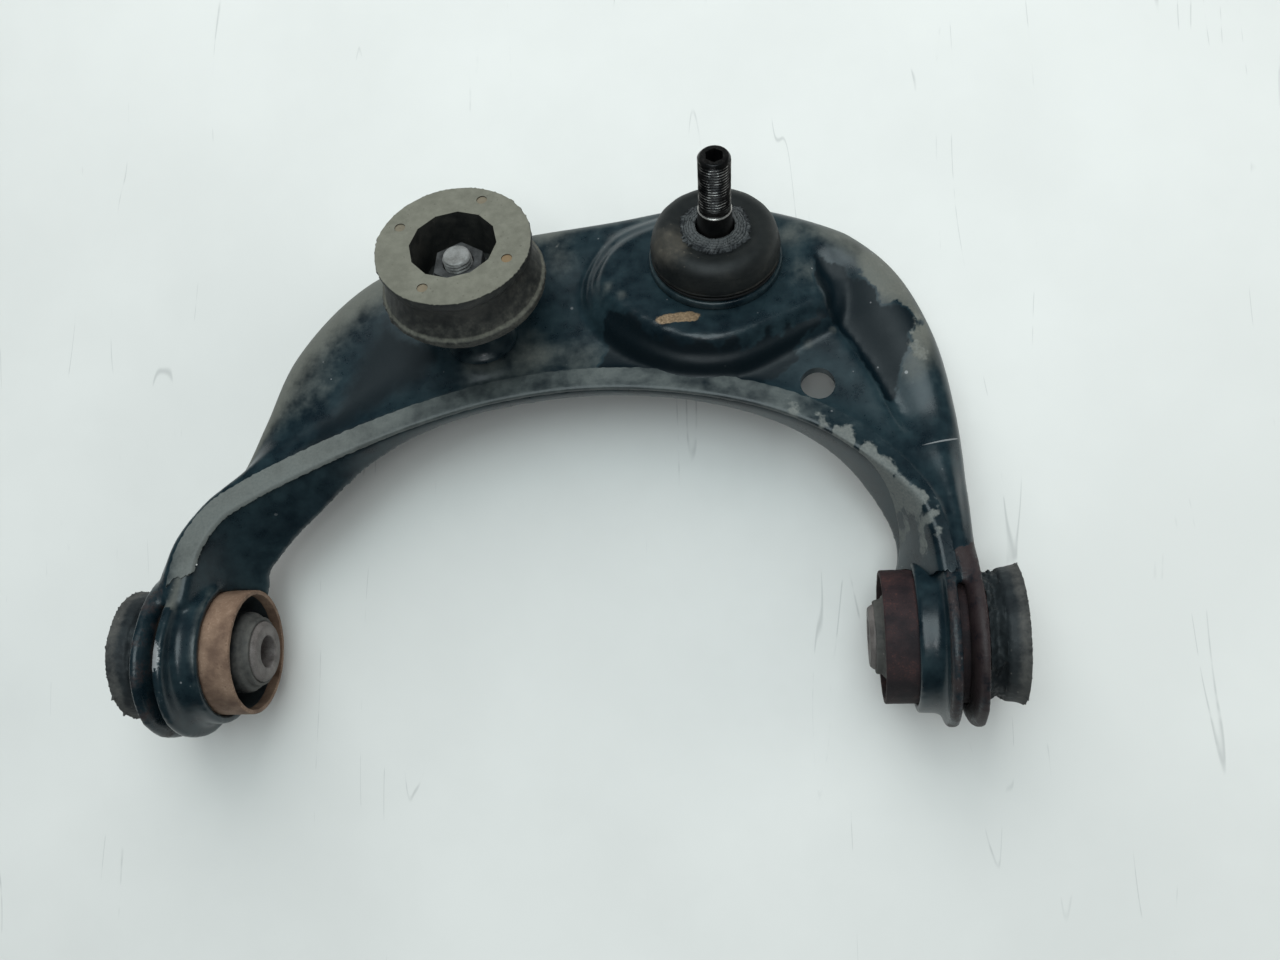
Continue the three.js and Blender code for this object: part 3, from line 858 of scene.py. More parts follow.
@dataclass
class Pressing:
    """The formed sheet: legs, crest, ridge, ball joint platform, ears and collars."""

    axes: Axes
    shop: Shop
    sheet: float = 3.0
    voxel: float = 1.1
    stations: int = 330
    rows: int = 150
    smoothing: int = 4
    rim_points: int = 56
    crest_width: float = 6.4
    crest_end_width: float = 3.3
    crest_rise: float = 3.0
    ridge_rise: float = 3.2
    outer_wall: float = 13.0
    arch_wall: float = 7.0
    leg_wall: float = 40.0
    seat_top: float = 8.0
    seat_bore: float = 21.0
    pad_radius: float = 15.5
    crease_depth: float = 4.2
    slot_at: tuple[float, float, float] = (-135.6, 22.5, 33.4)
    slot_way: tuple[float, float, float] = (-0.482, 0.426, -0.766)
    slot_halves: tuple[float, float] = (0.62, 1.7)
    slot_length: float = 46.0
    hole_at: tuple[float, float] = (101.0, 80.5)
    hole_radius: float = 6.3
    bolt_radius: float = 6.4
    bush_bore: float = 24.2
    ear_radius: float = 27.6
    strip_sheet: float = 1.2
    plan: tuple[tuple[float, float, float, float, float], ...] = (
        (-144.5, 7, -150.0, 7, 0.50),
        (-141.5, 27, -147, 31, 0.50),
        (-132, 42, -136, 46, 0.48),
        (-118, 51, -124.5, 60.5, 0.42),
        (-99, 60, -116, 81, 0.36),
        (-77, 69, -105, 107, 0.32),
        (-50, 78, -76, 135, 0.42),
        (-20, 85, -30, 149, 0.74),
        (17, 88, 22, 156, 0.80),
        (55, 84.5, 66, 161, 0.82),
        (88, 76, 104, 148, 0.66),
        (112, 64, 129, 129, 0.54),
        (128, 50, 142.8, 103.5, 0.46),
        (138.5, 36, 149, 75, 0.44),
        (142.5, 24, 151, 45, 0.48),
        (144.5, 7, 150.5, 7, 0.50),
    )
    seat_rim: tuple[tuple[float, float], ...] = (
        (-44, -7), (-41, -15), (-27, -28.6), (-11, -36.6), (5, -36.8), (21, -29.4),
        (31, -23.7), (40, -18.5), (42, -9), (36, 5), (24, 16), (6, 23), (-14, 20), (-36, 10),
    )
    dust_spots: tuple[tuple[float, float, float, float], ...] = (
        (-27, 92, 17, 0.42), (-8, 96, 20, 0.40), (12, 96, 16, 0.36), (3, 136, 12, 0.30),
        (-95, 84, 22, 0.25), (126, 118, 18, 0.55), (100, 122, 14, 0.25), (0, 147, 14, 0.2),
        (138, 100, 13, 0.80), (135, 86, 9, 0.45), (129, 124, 13, 0.50), (142, 90, 8, 0.30),
        (86, 92, 5, 0.55), (98, 97, 5, 0.60), (107, 102, 5, 0.60), (72, 87, 5, 0.35),
        (30, 112, 5, 0.40), (24, 116, 6, 0.35), (50, 147, 9, 0.35), (92, 140, 9, 0.30),
    )
    crease: tuple[tuple[float, float], ...] = (
        (100, 134), (104, 117), (106.5, 108), (112.6, 98.8), (118.9, 88.4), (125, 75), (131, 60),
    )
    # Outlines where shade is painted: dust is pulled to -0.75 inside them, which the paint draws
    # near-black.
    shade_outlines: tuple[tuple[tuple[tuple[float, float], ...], float], ...] = (
        (((101, 133), (108.6, 128.6), (121.5, 119.2), (126, 109), (132, 109.7), (136.4, 110.3),
          (138.6, 104.6), (136, 94.7), (131.7, 91), (130.6, 84.4), (128.3, 76.8), (125, 75),
          (118.9, 88.4), (112.6, 98.8), (106, 107.8)), 1.2),
        (((25.3, 108.7), (29, 106.5), (36, 100), (43.6, 94.6), (58.6, 90), (73.3, 91.3),
          (91.7, 99.4), (110.6, 109), (112.6, 105.7), (95.2, 98.3), (91.2, 88.5), (79.9, 81.1),
          (65.3, 80.2), (43, 82.8), (18.3, 86.4), (23.4, 97.5), (21.7, 103.7)), 1.2),
        (((-60.7, 109.6), (-67, 114), (-72, 106), (-83.6, 84.5), (-97.6, 64.5), (-100, 57.3),
          (-92, 60.8), (-78.5, 74), (-59.4, 87.2), (-44, 98.6), (-48.3, 103.1)), 6.0),
    )
    mud_spots: tuple[tuple[float, float, float, float], ...] = (
        (136, 117, 9, 0.50), (138, 104, 10, 0.58), (136, 92, 9, 0.52), (133, 82, 7, 0.42),
        (129, 126, 8, 0.40), (2, 147, 8, 0.36), (12, 150, 7, 0.30),
    )
    strip_mud: tuple[tuple[float, float, float, float], ...] = (
        (109, 57, 9, 0.66), (116, 51, 8, 0.68), (122, 46, 8, 0.70), (128, 40, 7, 0.56),
        (133, 35, 8, 0.66), (137, 29, 6, 0.55), (138, 22, 7, 0.52), (101, 63, 8, 0.58),
        (92, 68, 7, 0.40),
    )
    _rows: dict[float, list[Vector]] = field(default_factory=dict)

    def __post_init__(self) -> None:
        """Works out the rails and the platform's rim."""
        self.crest = [Vector((row[0], row[1], 0)) for row in self.plan]
        self.ridge = [Vector((row[2], row[3], 0)) for row in self.plan]
        corners = [Vector((x, y, 0)) for x, y in self.seat_rim]
        wrapped = [*corners[-3:], *corners, *corners[:3]]
        span = len(wrapped) - 1
        count = self.rim_points
        places = [(3 + len(corners) * k / count) / span for k in range(count)]
        self.rim = [rail(wrapped, place) for place in places]

    @staticmethod
    def crest_height(y: float) -> float:
        """Height of the crest over the arm's axes."""
        return 27 + 0.27 * y

    @staticmethod
    def ridge_height(y: float) -> float:
        """Height of the ridge's shoulder."""
        return min(max(10 + 0.34 * y, 26.5), 58.4)

    def valley_at(self, place: float) -> float:
        """Share of the width at which the slope to the ridge starts.

        Args:
            place: the station.

        Returns:
            The share.
        """
        along = place * (len(self.plan) - 1)
        start = min(int(along), len(self.plan) - 2)
        return lerp(self.plan[start][4], self.plan[start + 1][4], along - start)

    @staticmethod
    def wall_lean(place: float) -> float:
        """How far the inner wall leans in, as a share of its depth.

        Args:
            place: the station.

        Returns:
            The share, negative where the wall leans out.
        """
        if place < 0.5:
            return lerp(0.36, -0.35, smooth(0.26, 0.44, place))
        return lerp(-0.35, 0.40, smooth(0.58, 1.0, place))

    def crest_flat(self, place: float) -> float:
        """Width of the crest's flat top, narrower down the right leg."""
        return lerp(self.crest_width, self.crest_end_width, smooth(0.74, 0.88, place))

    def section(self, place: float) -> list[Vector]:
        """Corners of the sheet's middle at one station, inner wall's edge first.

        Args:
            place: the station.

        Returns:
            The corners.
        """
        crest, ridge = rail(self.crest, place), rail(self.ridge, place)
        across = ridge - crest
        width = across.length
        out = across.normalized()
        step = 1e-4
        along = (rail(self.crest, place + step) - rail(self.crest, place - step)).normalized()
        square = Vector((-along.y, along.x, 0))
        top, shoulder = self.crest_height(crest.y), self.ridge_height(ridge.y)
        depth = lerp(self.arch_wall, self.leg_wall, 1 - smooth(0.02, 0.44, min(place, 1 - place)))
        lean = self.wall_lean(place)
        sunk = self.crest_rise * min(1.0, width / 30)
        valley = width * self.valley_at(place)
        near = min(5.0, width * 0.22)
        slope = width - valley

        def level(reach: float) -> float:
            """Height of the floor beside the crest at a reach from it."""
            return self.crest_height(crest.y + out.y * reach) - sunk

        def at(base: Vector, way: Vector, reach: float, height: float) -> Vector:
            """A point at a reach from a base, at its own height."""
            point = base + way * reach
            return Vector((point.x, point.y, height))

        edge = -self.crest_flat(place)
        return [
            at(crest, square, edge - depth * lean, top - depth),
            at(crest, square, edge - depth * lean * 0.3, top - depth * 0.4),
            at(crest, square, edge + 0.2, top - 1.6),
            at(crest, square, edge + 0.9, top - 0.1),
            at(crest, square, edge + 2.4, top),
            at(crest, out, -0.8, top),
            at(crest, out, 0.6, top - 0.9),
            at(crest, out, near, level(near)),
            at(crest, out, valley * 0.6 + near * 0.4, level(valley * 0.6) - sunk * 0.2),
            at(crest, out, valley, level(valley) - sunk * 0.2),
            at(crest, out, width - slope * 0.62, lerp(level(valley), shoulder + 2, 0.55)),
            at(ridge, out, -slope * 0.34, shoulder + self.ridge_rise - 0.6),
            at(ridge, out, -min(5.0, slope * 0.16), shoulder + self.ridge_rise * 0.8),
            at(ridge, out, 0, shoulder),
            at(ridge, out, 1.2, shoulder - 4),
            at(ridge, out, 2.2, shoulder - self.outer_wall),
        ]

    def rim_distance(self, point: Vector) -> float:
        """Distance of a point inside the platform's rim, negative outside it.

        Args:
            point: the place in the ball joint's axes.

        Returns:
            The distance.
        """
        nearest, inside = 1e9, False
        count = len(self.rim)
        for k in range(count):
            first, second = self.rim[k], self.rim[(k + 1) % count]
            side = second - first
            offset = Vector((point.x - first.x, point.y - first.y, 0))
            share = min(max(offset.dot(side) / side.length_squared, 0.0), 1.0)
            nearest = min(nearest, (offset - side * share).length)
            if (first.y > point.y) != (second.y > point.y):
                cross = first.x + (point.y - first.y) * side.x / side.y
                inside ^= point.x < cross
        return nearest if inside else -nearest

    def formed(self, point: Vector) -> Vector:
        """Raises the ball joint's platform and flattens the bump stop's pad.

        Args:
            point: a point of the sheet's middle in the arm's axes.

        Returns:
            Where the forming puts it.
        """
        local = self.to_joint @ point
        if abs(local.x) < 62 and -55 < local.y < 42:
            inside = self.rim_distance(local)
            lift = 0.50 * smooth(-8.0, -4.0, inside) + 0.50 * smooth(-2.8, 1.0, inside)
            level = self.seat_top - self.sheet / 2
            local.z = lerp(local.z, level, lift) if local.z < level + 6 else local.z
            point = self.from_joint @ local
        if point.x > 92 and 52 < point.y < 138:
            level = min(max(point.y, 60.0), 134.0)
            for (ax, ay), (bx, by) in zip(self.crease, self.crease[1:]):
                if by <= level <= ay:
                    side = point.x - lerp(ax, bx, (ay - level) / (ay - by))
                    ends = smooth(54, 72, point.y) * smooth(137, 122, point.y)
                    dent = smooth(-2.5, 2.0, side) * smooth(22, 3, side)
                    point = point - Vector((0, 0, self.crease_depth * dent * ends))
                    break
        local = self.to_bump @ point
        reach = off_axis(local)
        if reach < self.pad_radius + 8:
            flat = smooth(self.pad_radius + 6, self.pad_radius - 1, reach)
            local.z = lerp(local.z, -0.15, flat)
            point = self.from_bump @ local
        return point

    def surface(self, place: float, across: float) -> Vector:
        """Point of the sheet's middle.

        Args:
            place: station, 0 at the left leg's end.
            across: 0 at the inner wall's edge, 1 at the outer wall's.

        Returns:
            The point in the arm's axes.
        """
        key = round(place, 6)
        if key not in self._rows:
            self._rows[key] = rounded(self.section(place), 3)
        row = self._rows[key]
        along = min(max(across, 0.0), 1.0) * (len(row) - 1)
        start = min(int(along), len(row) - 2)
        return row[start].lerp(row[start + 1], along - start)

    def lofted(self) -> bmesh.types.BMesh:
        """The sheet's middle as a grid carried onto the formed surface.

        Returns:
            The grid.
        """
        grid = bmesh.new()
        bmesh.ops.create_grid(
            grid, x_segments=self.stations, y_segments=self.rows, size=1.0
        )
        self.samples = []
        for vert in grid.verts:
            place, across = (vert.co.x + 1) / 2, (vert.co.y + 1) / 2
            vert.co = self.formed(self.surface(place, across))
            self.samples.append((vert.co.copy(), place, across))
        bmesh.ops.recalc_face_normals(grid, faces=grid.faces)
        return grid

    def ears(self, side: Side) -> Shape:
        """One leg's two ears and the collar, in the arm's axes.

        Args:
            side: the leg.

        Returns:
            The ears and collar.
        """
        shape = Shape()
        shape.turned(
            [(24.3, 130.8), (27.4, 130.8, 0.5), (27.4, 140.4, 3.2), (32.4, 140.4, 0.9),
             (32.4, 144.4, 0.9), (24.3, 144.4)], 180,
        )
        shape.turned(
            [(24.3, 147.6), (28.6, 147.6, 2.5), (32.4, 150.0, 0.7), (32.4, 153.8, 0.9),
             (27.6, 151.2, 2.5), (24.3, 151.2)], 180,
        )
        turn = self.axes.pivot_in_arm(side)

        def lobe(place: Vector) -> Vector:
            """Swells the ears outwards on the inner lower side."""
            reach = off_axis(place)
            if reach < self.ear_radius:
                return place
            point = turn @ place
            low = math.atan2(point.z, -point.y)
            bulge = 2.6 * smooth(60, 10, abs(math.degrees(low) - 34))
            grown = reach + bulge * (reach - self.ear_radius) / 4.8
            return Vector((place.x * grown / reach, place.y * grown / reach, place.z))

        shape.move(lobe)
        shape.bm.transform(turn)
        return shape

    def build(self, paint: bpy.types.Material) -> None:
        """Makes the arm's body.

        Args:
            paint: its finish.
        """
        self.from_joint = self.axes.joint_in_arm
        self.to_joint = self.from_joint.inverted()
        self.from_bump = self.axes.bump_in_arm
        self.to_bump = self.from_bump.inverted()
        shape = Shape()
        shape.bm = modified(
            self.lofted(), ("SOLIDIFY", {"thickness": self.sheet, "offset": 0.0})
        )
        clear = Shape()
        for side in Side:
            tool = Shape().turned(
                [(0, 112), (23.8, 112), (23.8, 131), (27.0, 131.5), (27.0, 176), (0, 176)], 96,
                False,
            )
            tool.bm.transform(self.axes.pivot_in_arm(side))
            clear.join(tool.bm)
        shape.bm = cut(shape.bm, clear.bm)
        for side in Side:
            shape.join(self.ears(side).bm)
        shape.bm = modified(
            shape.bm, ("REMESH", {"mode": "VOXEL", "voxel_size": self.voxel})
        )
        bmesh.ops.recalc_face_normals(shape.bm, faces=shape.bm.faces)
        for _ in range(self.smoothing):
            bmesh.ops.smooth_vert(
                shape.bm, verts=shape.bm.verts, factor=0.5,
                use_axis_x=True, use_axis_y=True, use_axis_z=True,
            )
        self.mark_wear(shape)
        shape.bm = cut(shape.bm, self.openings().bm)
        self.shop.piece(
            "arm_body", shape, self.axes.arm, paint, "arm", "arm_paint", ["arm_pressing"],
            math.radians(50),
        )

    def openings(self) -> Shape:
        """Tools for the sheet's holes: ball joint seat, plain hole, bump stop bolt, slot.

        Returns:
            The tools, closed, in the arm's axes.
        """
        tools = Shape()
        bore = Shape().turned([(0, -30), (self.seat_bore, -30), (self.seat_bore, 16), (0, 16)],
                              128, False)
        bore.bm.transform(self.from_joint)
        plain = Shape().turned(
            [(0, 20), (self.hole_radius, 20), (self.hole_radius, 75), (0, 75)], 96, False
        )
        bmesh.ops.translate(plain.bm, verts=plain.bm.verts, vec=(*self.hole_at, 0))
        bolt = Shape().turned(
            [(0, -8), (self.bolt_radius, -8), (self.bolt_radius, 8), (0, 8)], 64, False
        )
        bolt.bm.transform(self.from_bump)
        for tool in (bore, plain, bolt):
            tools.join(tool.bm)
        return tools.join(self.slot().bm).join(self.bores().bm)

    def bores(self) -> Shape:
        """Tools for the two bush bores.

        Returns:
            The tools, closed, in the arm's axes.
        """
        tools = Shape()
        for side in Side:
            tool = Shape().turned(
                [(0, 112), (self.bush_bore, 112), (self.bush_bore, 176), (0, 176)], 128, False
            )
            tool.bm.transform(self.axes.pivot_in_arm(side))
            tools.join(tool.bm)
        return tools

    def slot(self) -> Shape:
        """Tool for the narrow slot where the strip leaves the left leg.

        Returns:
            The tool, closed, in the arm's axes.
        """
        way = Vector(self.slot_way).normalized()
        shape = Shape()
        bmesh.ops.create_cone(
            shape.bm, cap_ends=True, segments=24, depth=self.slot_length, radius1=1.0,
            radius2=1.0,
            matrix=aimed(self.slot_at, way) @ Matrix.Diagonal((*self.slot_halves, 1.0, 1.0)),
        )
        return shape

    def mark_wear(self, shape: Shape) -> None:
        """Stores dust, mud, rubbing and rust on the body's vertices, with painted shade as
        negative dust.

        Args:
            shape: the body's mesh.
        """
        tree = KDTree(len(self.samples))
        for number, (point, _, _) in enumerate(self.samples):
            tree.insert(point, number)
        tree.balance()
        found: dict[int, tuple[float, float]] = {}
        for vert in shape.bm.verts:
            _, number, gap = tree.find(vert.co)
            _, place, across = self.samples[number]
            found[vert.index] = (place, across if gap < 4 else -1.0)
        names = ("dust", "mud", "worn", "rust")
        layers = [shape.bm.verts.layers.float.new(name) for name in names]
        for vert in shape.bm.verts:
            values = self.wear_at(vert.co, vert.normal, *found[vert.index])
            for layer, value in zip(layers, values):
                vert[layer] = value

    def wear_at(
        self, point: Vector, normal: Vector, place: float, across: float
    ) -> tuple[float, float, float, float]:
        """Dust, mud, rubbing and rust at a point of the body; dust below 0 is painted shade.

        Args:
            point: the place in the arm's axes.
            normal: the surface's normal there.
            place: nearest station.
            across: how far across the section, or -1 on the ears.

        Returns:
            The four values, each up to 1; dust goes down to -0.75 where shade is painted.
        """
        up = max(normal.z * 0.9 + normal.y * 0.1, 0.0)
        dust, mud, worn, rust = 0.10 * up, 0.0, 0.0, 0.0
        side = Side.LEFT if point.x < 0 else Side.RIGHT
        if across >= 0:
            ridge = math.exp(-(((across - 0.80) / 0.10) ** 2))
            left = smooth(0.03, 0.12, place) * smooth(0.56, 0.40, place)
            right = smooth(0.63, 0.70, place) * smooth(0.86, 0.74, place)
            dust += ridge * (0.78 * left + 0.50 * right + 0.16) * (0.4 + 0.6 * up)
            strip = math.exp(-(((across - 0.29) / 0.06) ** 2))
            dust += strip * 0.55 * smooth(0.99, 0.5, place)
            if side is Side.RIGHT:
                dust += 0.08 * smooth(0.30, 0.20, across) * smooth(0.70, 0.86, place)
        for x, y, reach, amount in self.dust_spots:
            dust += amount * smooth(reach, 0, math.hypot(point.x - x, point.y - y)) * up
        for x, y, reach, amount in self.mud_spots:
            near = math.hypot(point.x - x, point.y - y)
            mud = max(mud, amount * smooth(reach * 1.5, 0, near) * up * 1.3)
        ring = math.hypot(point.y, point.z)
        if abs(point.x) > 128 and ring < 37:
            rim = smooth(30.8, 32.2, ring)
            if abs(point.x) > 146:
                rust = 0.62 if side is Side.RIGHT else 0.40
                dust += 0.05
            else:
                worn = 0.46 * rim * smooth(139, 141, abs(point.x))
                if side is Side.LEFT:
                    dust += 0.35 * smooth(136, 131, abs(point.x)) * max(normal.z, 0.0)
                else:
                    rust = 0.18 + 0.3 * rim
        # Painted shade: inside the shade outlines dust is pulled down to -0.75, drawn near-black
        # by the paint.
        if across >= 0 and normal.z > 0.1:
            rag = 3.0 * noise.fractal(point * 0.16, 0.8, 2.2, 5)
            for outline, soft in self.shade_outlines:
                depth = outline_depth(outline, point.x, point.y) + rag
                dust = lerp(dust, -0.75, smooth(-soft, soft, depth))
        return min(dust, 1.0), min(mud, 1.0), min(worn, 1.0), rust

    def strip_line(self, place: float, torn: float) -> list[Vector]:
        """The strip across the crest and down the inner wall at one station.

        Args:
            place: the station.
            torn: unevenness of the strip's edges there, about 0.

        Returns:
            Points from the outer edge to the inner one.
        """
        crest, ridge = rail(self.crest, place), rail(self.ridge, place)
        out = (ridge - crest).normalized()
        step = 1e-3
        along = (rail(self.crest, place + step) - rail(self.crest, place - step)).normalized()
        square = Vector((-along.y, along.x, 0))
        top = self.crest_height(crest.y) + self.sheet / 2
        depth = lerp(self.arch_wall, self.leg_wall, 1 - smooth(0.02, 0.44, min(place, 1 - place)))
        down = (square * -self.wall_lean(place) - Vector((0, 0, 1))).normalized()
        outer = crest + out * (1.3 + 0.5 * torn) + Vector((0, 0, top - 0.25))
        full = smooth(0.76, 0.88, place)
        inner = crest - square * (self.crest_flat(place) + 1.1 + 0.5 * full)
        inner = inner + Vector((0, 0, top - 0.15 + 0.2 * full))
        lip = 1.4 + 0.5 * torn + full * max(depth * 0.86 - 2, 0)
        corner = inner.lerp(outer, 0.05 + 0.12 * full)
        return rounded(
            [outer, outer.lerp(inner, 0.4), corner, inner + down * (1.0 + 1.6 * full),
             inner + down * lip], 2,
        )

    def build_strip(self, paint: bpy.types.Material) -> None:
        """Makes the folded strip that covers the crest, with its raw edges and torn ends.

        Args:
            paint: its finish.
        """
        grid = bmesh.new()
        bmesh.ops.create_grid(grid, x_segments=420, y_segments=26, size=1.0)
        for vert in grid.verts:
            along, share = (vert.co.x + 1) / 2, (vert.co.y + 1) / 2
            rag = noise.fractal(Vector((share * 14, 3.1, 0)), 1.0, 2.0, 3) * 0.006
            start = 0.020 + 0.030 * share + rag
            end = 0.990 - 0.012 * smooth(0.30, 1.0, share) + rag
            place = lerp(start, end, along)
            torn = noise.fractal(Vector((place * 150, 7, 0)), 1.0, 2.0, 3)
            line = self.strip_line(place, torn)
            reach = share * (len(line) - 1)
            first = min(int(reach), len(line) - 2)
            vert.co = line[first].lerp(line[first + 1], reach - first)
        shape = Shape()
        shape.bm = modified(
            grid,
            ("SOLIDIFY", {"thickness": self.strip_sheet, "offset": 0.0}),
            ("BEVEL", {"width": 0.25, "segments": 2, "limit_method": "ANGLE"}),
        )
        shape.bm = cut(shape.bm, self.bores().join(self.slot().bm).bm)

        def dusty(point: Vector) -> float:
            """Dust on the strip."""
            left = 0.36 * smooth(-30, -95, point.x)
            flat = smooth(0, 10, point.z - self.crest_height(point.y) + 8)
            end = 0.3 + 0.7 * smooth(-150, -138, point.x)
            return (0.22 + left + 0.32 * smooth(118, 84, point.x)) * flat * end - 0.05

        def muddy(point: Vector) -> float:
            """Dried mud on the strip."""
            return max(
                amount * 1.25 * smooth(reach * 1.3, 0, math.hypot(point.x - x, point.y - y))
                for x, y, reach, amount in self.strip_mud
            )

        def rubbed(point: Vector) -> float:
            """Rubbing on the strip and at its torn end."""
            left = smooth(9, 2, (point - Vector((-134, 24, 35))).length)
            ring = math.hypot(point.y, point.z)
            torn = smooth(28.2, 25.6, ring) * smooth(118, 122, point.x)
            return 0.45 * left + 0.55 * torn

        shape.mark("dust", dusty).mark("mud", muddy).mark("worn", rubbed)
        shape.mark("rust", lambda point: 0.0)
        self.shop.piece("crest_strip", shape, self.axes.arm, paint, "arm", "arm_paint")


def held(bm: bmesh.types.BMesh, name: str) -> bpy.types.Object:
    """A short-lived object that holds a mesh, which is freed.

    Args:
        bm: the mesh.
        name: the object's name.

    Returns:
        The object.
    """
    mesh = bpy.data.meshes.new(name)
    bm.to_mesh(mesh)
    bm.free()
    made = bpy.data.objects.new(name, mesh)
    bpy.context.scene.collection.objects.link(made)
    return made


def modified(bm: bmesh.types.BMesh, *steps: tuple[str, dict]) -> bmesh.types.BMesh:
    """Runs modifiers over a mesh.

    Args:
        bm: the mesh, freed here.
        steps: a modifier's type and settings, in order.

    Returns:
        The resulting mesh.
    """
    carrier = held(bm, "carrier")
    for kind, settings in steps:
        modifier = carrier.modifiers.new(kind.lower(), kind)
        for key, value in settings.items():
            setattr(modifier, key, value)
    graph = bpy.context.evaluated_depsgraph_get()
    result = bpy.data.meshes.new_from_object(carrier.evaluated_get(graph))
    finished = bmesh.new()
    finished.from_mesh(result)
    old = carrier.data
    bpy.data.objects.remove(carrier)
    for mesh in (old, result):
        bpy.data.meshes.remove(mesh)
    return finished


def cut(bm: bmesh.types.BMesh, tool: bmesh.types.BMesh) -> bmesh.types.BMesh:
    """Takes a tool's volume out of a mesh. Both are freed.

    Args:
        bm: the mesh that is cut.
        tool: the closed mesh that cuts it.

    Returns:
        The cut mesh.
    """
    cutter = held(tool, "cutter")
    finished = modified(
        bm, ("BOOLEAN", {"operation": "DIFFERENCE", "solver": "EXACT", "object": cutter})
    )
    mesh = cutter.data
    bpy.data.objects.remove(cutter)
    bpy.data.meshes.remove(mesh)
    return finished


# ---- pivot bushes -----------------------------------------------------------------------------
@dataclass
class Bush:
    """One pivot bush: pressed-in sleeve, bonded rubber, inner sleeve and stop ring."""

    axes: Axes
    shop: Shop
    side: Side
    core_radius: float = 11.7
    bore_radius: float = 6.2

    def build(self, sleeve: RustySteel, core: WorkedSteel, rubber: Rubber) -> None:
        """Makes the bush's pieces.

        Args:
            sleeve: finish of the outer sleeve.
            core: finish of the inner sleeve.
            rubber: finish of the rubber.
        """
        label = self.side.label
        place = self.axes.pivot(self.side)
        seed = 3.0 + self.side.value
        pivot = f"pivot_{label}"

        shell = Shape().turned(
            [(22.2, 119.7, 0.35), (24.0, 119.7, 0.6), (24.0, 154.6, 0.4), (22.2, 154.6, 0.3)],
            160,
        )
        shell.roughen(0.10, 2.5, seed)
        shell.mark("worn", lambda p: 0.55 * smooth(120.6, 119.8, p.z))
        self.shop.piece(
            f"bush_sleeve_{label}", shell, place, sleeve.build(), "arm", "sleeve_rust",
            [f"bush_outer_sleeve_{label}"],
        )

        tube = Shape().turned(
            [(self.bore_radius, 115.2, 0.5), (10.6, 115.2, 0.3), (self.core_radius, 116.6, 0.3),
             (self.core_radius, 170.4, 0.5), (self.bore_radius, 170.4, 0.5)], 96,
        )
        tube.roughen(0.06, 2.0, seed + 4)
        tube.mark("worn", lambda p: 0.35 * smooth(116.0, 115.3, p.z)
                  + 0.4 * smooth(169.6, 170.3, p.z))
        tube.mark("dust", lambda p: 0.55 * smooth(6.6, 7.4, off_axis(p)))
        self.shop.piece(
            f"bush_core_{label}", tube, place, core.build(), pivot, "core_steel",
            [f"bush_inner_sleeve_{label}"],
        )
        self.inboard_rubber(place, rubber, seed)
        self.outboard_rubber(place, rubber, seed)

        ring = Shape().turned(
            [(15.5, 166.5, 0.2), (20.3, 166.5, 0.2), (20.3, 168.1, 0.4), (15.5, 168.1, 0.4)], 96
        )
        ring.roughen(0.08, 2.5, seed + 9)
        ring.mark("dust", lambda p: 0.5).mark("worn", lambda p: 0.2)
        self.shop.piece(
            f"bush_ring_{label}", ring, place, core.build(), "arm", "core_steel",
            [f"bush_stop_ring_{label}"],
        )

    def inboard_rubber(self, place: Matrix, rubber: Rubber, seed: float) -> None:
        """The stepped cone on the inner sleeve and the deep ring-shaped hollow round it.

        Args:
            place: the bush's axes.
            rubber: its finish.
            seed: offset of its unevenness.
        """
        shape = Shape().turned(
            [(11.9, 117.2, 0.2), (13.3, 117.2, 0.5), (13.5, 119.6, 0.4), (15.0, 120.6, 0.6),
             (15.7, 122.6, 0.6), (16.0, 138, 2.0), (19.0, 139, 1.2), (20.9, 132, 1.0),
             (21.9, 123.4, 0.4), (21.9, 150), (11.9, 150)], 144,
        )

        def bump_out(p: Vector) -> float:
            """Leaves the bonded bore smooth."""
            return 1.0 if off_axis(p) > 12.2 else 0.0

        shape.roughen(0.22, 3.2, seed, bump_out)
        shape.mark("dust", lambda p: 0.75 * smooth(127, 119, p.z)
                   * smooth(17.5, 15.5, off_axis(p)))
        shape.mark("worn", lambda p: 0.0)
        self.shop.piece(
            f"bush_cone_{self.side.label}", shape, place, rubber.build(), "arm", "bush_rubber",
            [f"bush_rubber_{self.side.label}"],
        )

    def outboard_rubber(self, place: Matrix, rubber: Rubber, seed: float) -> None:
        """The bulged ring outside the ear, with its torn waist and ragged moulding flash.

        Args:
            place: the bush's axes.
            rubber: its finish.
            seed: offset of its unevenness.
        """
        shape = Shape().turned(
            [(11.9, 154.8), (22.6, 154.8, 0.4), (21.4, 156.2, 0.6), (20.6, 158.0, 0.8),
             (21.8, 159.8, 0.8), (23.6, 161.2, 0.8), (24.0, 164.0), (24.4, 166.6, 0.4),
             (24.9, 168.0, 0.2), (23.6, 168.2, 0.3), (20.6, 168.2, 0.4), (20.6, 166.0, 0.4),
             (15.2, 166.0, 0.4), (15.2, 168.2, 0.5), (11.9, 168.2)], 256,
        )

        def ragged(p: Vector) -> Vector:
            """Tears the waist and frays the moulding flash."""
            reach = off_axis(p)
            angle = math.atan2(p.y, p.x)
            ring = Vector((math.cos(angle), math.sin(angle), 0))
            if reach > 19 and p.z < 160.5:
                tabs = noise.fractal(ring * 3.2 + Vector((seed, 0, p.z * 0.25)), 1.0, 2.0, 3)
                tears = max(noise.noise(ring * 7 + Vector((0, seed, p.z * 0.4))), 0.0)
                reach += 1.7 * tabs + 2.6 * tears * smooth(160.5, 157.0, p.z)
            if reach > 23.8:
                flash = max(noise.noise(ring * 34 + Vector((seed, p.z * 0.2, 0))) - 0.12, 0.0)
                spike = max(noise.noise(ring * 15 + Vector((0, 0, seed * 3))) - 0.30, 0.0)
                edge = smooth(166.4, 168.0, p.z)
                reach += (1.1 * flash + 2.6 * spike) * edge
                reach += 0.35 * noise.noise(ring * 4 + Vector((seed, 0, p.z * 0.3)))
            return Vector((ring.x * reach, ring.y * reach, p.z))

